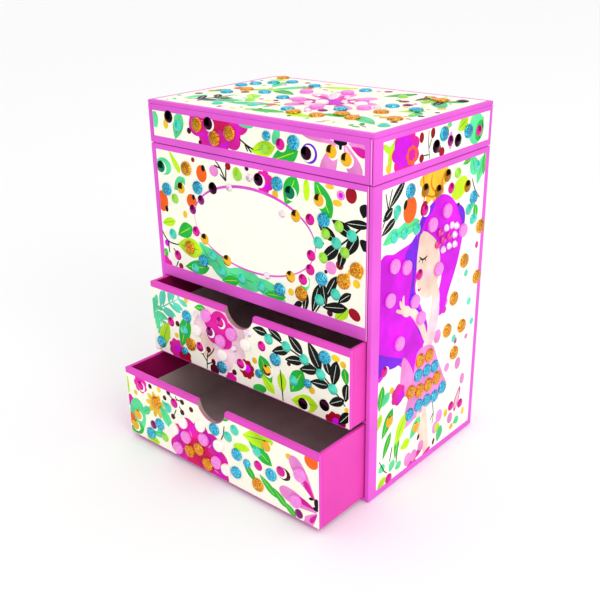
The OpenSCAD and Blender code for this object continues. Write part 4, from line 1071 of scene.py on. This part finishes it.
def add_dancer():
    """A small moulded dancer with her arms raised in a ring, of no one's likeness."""
    low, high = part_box("ballerina_figure")
    spindle_low, spindle_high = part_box("ballerina_spindle")
    base = Vector(((low.x + high.x) / 2, (spindle_low.y + spindle_high.y) / 2, low.z))
    mesh = bmesh.new()
    skin, bodice, hair, eye, lip, shoe = range(6)
    lathe(mesh, base, ((2.9, 0), (3, 0.3), (2.9, 0.8), (2.2, 1)), shoe)
    for side in (-1, 1):
        hip = base + Vector((side * 1.3, 0, 20)) * MM
        knee = base + Vector((side * 0.95, -0.3, 10.5)) * MM
        ankle = base + Vector((side * 0.75, 0, 3.2)) * MM
        toe = base + Vector((side * 0.7, 0.1, 0.9)) * MM
        path = [hip, hip.lerp(knee, 0.5), knee, knee.lerp(ankle, 0.4), ankle]
        tube(mesh, path, [r * MM for r in (1.5, 1.3, 0.95, 1.05, 0.66)], skin)
        tube(mesh, [ankle + Vector((0, 0, 0.6 * MM)), ankle.lerp(toe, 0.5), toe],
             [r * MM for r in (0.74, 0.86, 0.5)], shoe)
    trunk = ((2.2, 17.6), (3.2, 18.6), (3.3, 20), (2.7, 22), (2.05, 24.2), (2.3, 25.8), (2.9, 27.2),
             (3, 28.2), (2.5, 29.4), (1.9, 29.8))
    lathe(mesh, base, trunk, bodice, stretch=(1, 0.78))
    lathe(mesh, base, ((2.4, 28.6), (2.3, 29.8), (1.6, 30.6), (0.98, 31.4), (0.9, 33.4)), skin,
          stretch=(1.05, 0.85))
    head = base + Vector((0, -0.1, 34.6)) * MM
    skull = ((0.5, -2.6), (1.2, -2.3), (1.85, -1.6), (2.3, -0.6), (2.45, 0.6), (2.1, 1.7), (1.3, 2.4),
             (0.2, 2.8))
    lathe(mesh, head, skull, skin, stretch=(0.94, 1.08))
    cap = [(2.5, -0.4), (2.66, 0.6), (2.42, 1.8), (1.6, 2.7), (0.2, 3.05)]
    lathe(mesh, head + Vector((0, 0.35, 0)) * MM, cap, hair, stretch=(0.98, 1.06))
    bun = head + Vector((0, 0.7, 2.6)) * MM
    lathe(mesh, bun, ((0.5, -0.9), (1.25, -0.4), (1.4, 0.2), (1, 0.9), (0.2, 1.2)), hair)
    nose = head + Vector((0, -2.5, -0.3)) * MM
    steps = ((0, 0, 0.8), (0, -0.1, 0), (0, 0, -0.1))
    bridge = [nose + Vector(step) * MM for step in steps]
    tube(mesh, bridge, [0.16 * MM, 0.26 * MM, 0.1 * MM], skin, 8)
    for side in (-1, 1):
        painted_line(mesh, head + Vector((side * 0.85, -2.32, 0.35)) * MM, 0.34 * MM, 0.16 * MM, eye)
    painted_line(mesh, head + Vector((0, -2.28, -1.15)) * MM, 0.45 * MM, 0.17 * MM, lip)
    hoop, middle = 7.0, base + Vector((0, 0, 34.6)) * MM
    for side in (-1, 1):
        path, radii = [], []
        for k in range(15):
            a = math.radians(-66 + 150 * k / 14)
            path.append(middle + Vector((side * hoop * math.cos(a), -0.2, hoop * math.sin(a))) * MM)
            radii.append((1.0 - 0.035 * k) * MM)
        tube(mesh, path, radii, skin, 12)
    paints = [SKIN_PLASTIC, BODICE, HAIR, EYE_PAINT, LIP_PAINT, SHOES]
    made = new_object("ballerina_figure_shown", mesh, paints, "dancer_group")
    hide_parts("ballerina_figure")


# ------------------------------------------------------------------------------- boards and metal


def dress_cad():
    """Gives each CAD node the material of its slot, and rounds the edges of the wrapped boards."""
    slots = {p["node"]: p["material_slot"] for p in frame["record"]["subparts"]}
    special = {"platform": VELVET, "tray_partition": VELVET, "mainspring": SPRING_STEEL}
    special.update({"ballerina_spring": SPRING_STEEL, "compartment_floor": DRAWER_WRAP})
    special.update({"upper_drawer_front": DRAWER_FACE, "lower_drawer_front": DRAWER_FACE})
    for name, node in NODES.items():
        finish = special.get(name) or SLOT_OF_MATERIAL.get(slots[name], PINK_WRAP)
        node.data.materials.clear()
        node.data.materials.append(finish)
        if slots[name] in ("printed_board", "pink_board"):
            weld = node.modifiers.new("weld", "WELD")
            weld.merge_threshold = 0.005 * MM
            flat = node.modifiers.new("flat_faces", "DECIMATE")
            flat.decimate_type = "DISSOLVE"
            flat.angle_limit = math.radians(1)
            bevel = node.modifiers.new("wrap_edge", "BEVEL")
            bevel.width = (0.25 if name.endswith("drawer_front") else 0.45) * MM
            bevel.segments = 2
            bevel.limit_method = "ANGLE"
            bevel.angle_limit = math.radians(50)


def add_notch_edge(drawer, front, notch):
    """The bare greyboard that shows where the finger notch cuts a drawer's front."""
    u0, v0, r = notch
    low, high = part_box(front)
    mesh = bmesh.new()
    rings = []
    top = high.z / MM - 0.4
    reach = math.asin(min(1.0, (v0 - top) / r))
    for i in range(33):
        a = math.pi + reach + (math.pi - 2 * reach) * i / 32
        out = Vector((math.cos(a), 0, math.sin(a)))
        centre = Vector((u0, 0, v0)) * MM + out * (r - 0.02) * MM
        front_y, back_y = low.y + 0.35 * MM, high.y - 0.35 * MM
        corners = [(front_y, 0.0), (back_y, 0.0), (back_y, 0.05), (front_y, 0.05)]
        rings.append([centre + out * depth * MM + Vector((0, y, 0)) for y, depth in corners])
    loft(mesh, rings, smooth=False)
    bmesh.ops.recalc_face_normals(mesh, faces=mesh.faces)
    edge = new_object(f"{drawer}_notch_edge", mesh, [RAW_BOARD], drawer)


def slab(mesh, low, high, material):
    """A thin sheet of paper between two corners."""
    corners = ((low[0], low[1]), (high[0], low[1]), (high[0], high[1]), (low[0], high[1]))
    ends = [[Vector((x, y, z)) for x, y in corners] for z in (low[2], high[2])]
    loft(mesh, ends, material, smooth=False)


def line_drawer(drawer):
    """Grey paper inside a drawer's walls, under the deep pink paper turned in over their top edges, which is
    made darker than the wrap as painted shade of the drawer's inside.
    """
    liner_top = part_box(f"{drawer}_liner")[1].z
    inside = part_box(f"{drawer}_sides")[1].x - 2 * MM
    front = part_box(f"{drawer}_front")[1].y + 0.05 * MM
    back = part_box(f"{drawer}_back")[0].y - 0.05 * MM
    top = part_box(f"{drawer}_sides")[1].z - 0.6 * MM
    split = top - 15 * MM
    mesh = bmesh.new()
    for material, z0, z1, thick in ((0, liner_top, split + MM, 0.08 * MM), (1, split, top, 0.14 * MM)):
        slab(mesh, (-inside - 0.01 * MM, front, z0), (-inside + thick, back, z1), material)
        slab(mesh, (inside - thick, front, z0), (inside + 0.01 * MM, back, z1), material)
        slab(mesh, (-inside + thick, back - thick, z0), (inside - thick, back + 0.04 * MM, z1), material)
    bmesh.ops.recalc_face_normals(mesh, faces=mesh.faces)
    lining = new_object(f"{drawer}_lining", mesh, [LINER, TURN_IN_SHADE_AND_SEAM_LINE], drawer)


# ------------------------------------------------------------------------------- building


def print_front():
    """The front panel, with its blank oval label."""
    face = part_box("front_panel")[0].y
    sheet = Print("front_print", "front", face, (-71.2, 97.8, 71.2, 164))
    sheet.draw(FRONT_ART)
    sheet.twig("black", 0.8, *FRONT_TWIGS)
    for stem, leaves in FRONT_BRANCHES:
        sheet.branch("black", stem, leaves)
    sheet.painted_rim_highlights(flat_dots("front_stickers", ("night", "magenta", "brassy", "plum")))
    label(sheet, -1, 131, 42, 21.6)
    sheet.finish("case")


def notch_of(front):
    """A drawer's finger notch: middle across, middle upwards and radius, in mm."""
    return (-1.5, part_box(front)[1].z / MM + 0.6, 10.3)


def drawer_sheet(drawer, low, high, notch):
    """Blank paper for a drawer's front, with room left round the finger notch."""
    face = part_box(f"{drawer}_front")[0].y
    u, v, r = notch
    return Print(f"{drawer}_print", "front", face, (-71.5, low, 71.5, high), (u, v, r + 0.3))


def finish_drawer(sheet, drawer, low, high, notch):
    """The pale fold lines of a drawer's printed paper, partly worn edge and partly painted highlight, the
    bare edge of its notch and its lining.
    """
    worn_fold_and_highlight(sheet, low, high)
    sheet.finish(drawer)
    add_notch_edge(drawer, f"{drawer}_front", notch)
    line_drawer(drawer)


def print_upper_drawer():
    """The upper drawer's front: a pale rose, ferns at the left and a dark branch at the right."""
    low, high = 48.2, 87
    notch = notch_of("upper_drawer_front")
    sheet = drawer_sheet("upper_drawer", low, high, notch)
    for k in range(7):
        a = 2 * math.pi * k / 7 + 0.4
        at = (-16.5 + 12 * math.cos(a), 72 + 12 * math.sin(a))
        sheet.add("skin" if k % 3 == 1 else "blush", disc(*at, 8.5, 7.5, math.degrees(a)))
    for k in range(5):
        a = 2 * math.pi * k / 5 + 0.2
        sheet.add("magenta", disc(-16.5 + 5.8 * math.cos(a), 75.5 + 5.8 * math.sin(a), 6.4, 5.4))
    sheet.fern("aqua", ((-74, 70), (-62, 77), (-47, 86)), 8, 12, 3.4)
    sheet.fern("mint", ((-73, 80), (-66, 70), (-63, 60)), 6, 9, 2.8)
    sheet.draw(UPPER_ART)
    sheet.twig("black", 0.7, *UPPER_TWIGS)
    sheet.draw([("disc", "wine", (-26, 61, 1.8), (-31.6, 58, 1.7), (-22.6, 54.6, 1.7))])
    sheet.branch("black", *UPPER_BRANCH)
    sheet.painted_rim_highlights(flat_dots("upper_drawer_stickers", ("night", "magenta", "brassy", "plum")))
    finish_drawer(sheet, "upper_drawer", low, high, notch)


def print_lower_drawer():
    """The lower drawer's front: a large flower between leaves."""
    low, high = 2.8, 41.6
    notch = notch_of("lower_drawer_front")
    sheet = drawer_sheet("lower_drawer", low, high, notch)
    sheet.big_bloom(-13, 9, 22)
    sheet.draw(LOWER_ART)
    sheet.twig("black", 0.7, *LOWER_TWIGS)
    sheet.painted_rim_highlights(flat_dots("lower_drawer_stickers", ("magenta", "brassy", "plum")))
    finish_drawer(sheet, "lower_drawer", low, high, notch)


def print_sides():
    """The right side with its picture of a dancer, and the left side with flowers."""
    sheet = Print("right_print", "right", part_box("right_panel")[1].x, (-44.5, 4, 47, 164))
    sheet.draw(DANCER_ART)
    sheet.twig("black", 0.6, *DANCER_TWIGS)
    sheet.painted_rim_highlights(flat_dots("right_stickers", ("magenta",)))
    sheet.finish("case")
    sheet = Print("left_print", "left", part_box("left_panel")[0].x, (-47, 4, 44.5, 164))
    sheet.draw(LEFT_ART)
    flower_head(sheet, -4, 111, 8, 15)
    sheet.big_bloom(24, 16, 13)
    sheet.branch("black", *LEFT_BRANCH)
    sheet.sprinkle(4, 60, flat_dots("left_stickers", DOT_KINDS))
    sheet.finish("case")


def print_back():
    """The back isn't in view, so it has a small repeat of the front's leaves and dots."""
    key_hole = (-15, 108, 9)
    screws = [(u, v, 3) for u in (10, -44) for v in (97.5, 121)]
    sheet = Print("back_print", "back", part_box("back_panel")[1].y, (-68, 6, 68, 150))
    picks = random.Random(9)
    for row in range(9):
        for column in range(8):
            u, v = -60 + 17 * column + 8 * (row % 2), 14 + 16 * row
            if all(math.hypot(u - a, v - b) > c + 7 for a, b, c in (key_hole, *screws)):
                turn = picks.uniform(0, 180)
                ink = ("mint", "green", "lime", "rose")[(row + column) % 4]
                berry = ("wine", "yellow", "magenta")[(row + 2 * column) % 3]
                sheet.draw([("leaf", ink, (u, v, 11, 4.6, turn)), ("disc", berry, (u + 7, v + 4, 1.5))])
    sheet.finish("case")


def print_lid():
    """The lid's four rims and its top."""
    side_low, side_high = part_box("lid_side_rims")
    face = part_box("lid_front_rim")[0].y
    sheet = Print("lid_front_print", "front", face, (-71.5, 171.2, 69.8, 184.8))
    sheet.big_bloom(-23, 190, 22)
    sheet.draw(LID_FRONT_ART)
    sheet.twig("black", 0.9, *LID_FRONT_TWIGS)
    sheet.painted_rim_highlights(flat_dots("lid_front_stickers", ("night", "magenta", "brassy")))
    sheet.finish("lid")
    sheet = Print("lid_right_print", "right", side_high.x, (-44.5, 170.7, 48, 185.5))
    sheet.draw(LID_RIGHT_ART)
    sheet.twig("black", 0.6, *LID_RIGHT_TWIGS)
    sheet.finish("lid")
    sheet = Print("lid_left_print", "left", side_low.x, (-48, 170.7, 44.5, 185.5))
    sheet.draw(LID_LEFT_ART)
    sheet.add("magenta", bloom(30, 179, 6, 8))
    sheet.sprinkle(7, 14, flat_dots("lid_side_stickers", DOT_KINDS))
    sheet.finish("lid")
    sheet = Print("lid_back_print", "back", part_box("lid_back_rim")[1].y, (-71.5, 180.5, 71.5, 185.5))
    sheet.sprinkle(11, 24, [])
    sheet.finish("lid")
    sheet = Print("lid_top_print", "top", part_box("lid_top_board")[1].z, (-72.6, -48, 72.4, 48.6))
    sheet.draw(TOP_ART)
    flower_head(sheet, 9.5, 0.5, 8, 16, (19, 12))
    for stem, leaves in TOP_BRANCHES:
        sheet.branch("black", stem, leaves)
    sheet.sprinkle(3, 70, [(9.5, 0.5, 25), *flat_dots("lid_top_stickers", DOT_KINDS)])
    sheet.finish("lid")


def add_seams():
    """A dark seam line in the wrapping paper beside the front's right corner, and beside it a pale strip
    that is a painted highlight along the corner's rounding.
    """
    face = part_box("front_panel")[0].y
    seams = (
        ("case_seam", "case", 72.4, 71.9, 91.2, 166.4),
        ("lid_seam", "lid", 73.9, 73.2, 167.8, 187.2),
    )
    for name, body, dark_u, highlight_u, low, high in seams:
        mesh = bmesh.new()
        # The dark strip is the seam line; the pale strip is a painted highlight of the rounded corner.
        for number, (u, width) in enumerate(((dark_u, 0.35), (highlight_u, 0.4))):
            near = (u * MM, face - 0.03 * MM, low * MM)
            far = ((u + width) * MM, face + 0.02 * MM, high * MM)
            slab(mesh, near, far, number)
        bmesh.ops.recalc_face_normals(mesh, faces=mesh.faces)
        new_object(name, mesh, [TURN_IN_SHADE_AND_SEAM_LINE, PAINTED_CORNER_HIGHLIGHT], body)


def look_at_photo_side():
    """The camera, where the photograph's was: fitted to the corners of the case, lid and drawers."""
    azimuth, elevation, roll = (math.radians(a) for a in (41.22, 22.98, -0.985))
    level = math.cos(elevation)
    back = Vector((math.sin(azimuth) * level, -math.cos(azimuth) * level, math.sin(elevation)))
    data = bpy.data.cameras.new("camera")
    data.sensor_width = 36
    data.lens = 51.12
    data.clip_start, data.clip_end = 0.01, 20
    camera = bpy.data.objects.new("camera", data)
    camera.location = Vector((-13.86, 0, 72.91)) * MM + back * 498.5 * MM
    camera.rotation_mode = "QUATERNION"
    camera.rotation_quaternion = back.to_track_quat("Z", "Y") @ Quaternion((0, 0, 1), roll)
    bpy.context.scene.collection.objects.link(camera)
    bpy.context.scene.camera = camera


def card(name, middle, way, width, height, finish):
    """A flat stage panel about middle, facing way."""
    mesh = bmesh.new()
    bmesh.ops.create_grid(mesh, x_segments=2, y_segments=2, size=0.5)
    made = new_object(name, mesh, [finish], None)
    turn = Vector(way).normalized().to_track_quat("Z", "Y").to_matrix().to_4x4()
    made.matrix_world = Matrix.Translation(middle) @ turn @ Matrix.Diagonal((width, height, 1, 1))
    return made


def light_studio():
    """A pale floor, a white surround, a soft key light, and dark cards that only glossy rays see."""
    scene = bpy.context.scene
    scene.view_settings.view_transform = "Standard"
    world = bpy.data.worlds.new("surround")
    world.use_nodes = True
    world.node_tree.nodes["Background"].inputs["Color"].default_value = (1, 1, 1, 1)
    world.node_tree.nodes["Background"].inputs["Strength"].default_value = 1.0
    scene.world = world
    key = bpy.data.lights.new("key", "AREA")
    key.energy, key.size = 5, 0.8
    lamp = bpy.data.objects.new("key", key)
    lamp.location = (1.2, -0.35, 0.8)
    lamp.rotation_mode = "QUATERNION"
    lamp.rotation_quaternion = lamp.location.to_track_quat("Z", "Y")
    scene.collection.objects.link(lamp)
    card("floor", (0, 0, -0.3 * MM), (0, 0, 1), 8, 8, surface("pale_floor", (250, 250, 250), 0.9, 0.01, 2))
    dark = surface("dark_card", (12, 10, 14), 0.9, 0.2, 3)
    for name, x, y, width in (("left_card", -0.377, -0.296, 0.42), ("right_card", 0.46, 0.52, 0.62)):
        flag = card(name, (x, y, 0.26), (0.66, 0.75, 0), width, 0.5, dark)
        flag.visible_camera = False
        flag.visible_diffuse = False
        flag.visible_shadow = False
        flag.visible_transmission = False


dress_cad()
print_front()
print_upper_drawer()
print_lower_drawer()
print_sides()
print_back()
print_lid()
for sticker_node, rides_on in (
    ("front_stickers", "case"),
    ("right_stickers", "case"),
    ("left_stickers", "case"),
    ("lid_top_stickers", "lid"),
    ("lid_front_stickers", "lid"),
    ("lid_side_stickers", "lid"),
    ("upper_drawer_stickers", "upper_drawer"),
    ("lower_drawer_stickers", "lower_drawer"),
):
    add_dots(sticker_node, rides_on)
add_ring_rolls()
add_hinge_cloth()
add_dancer()
add_tutu()
add_seams()
look_at_photo_side()
light_studio()
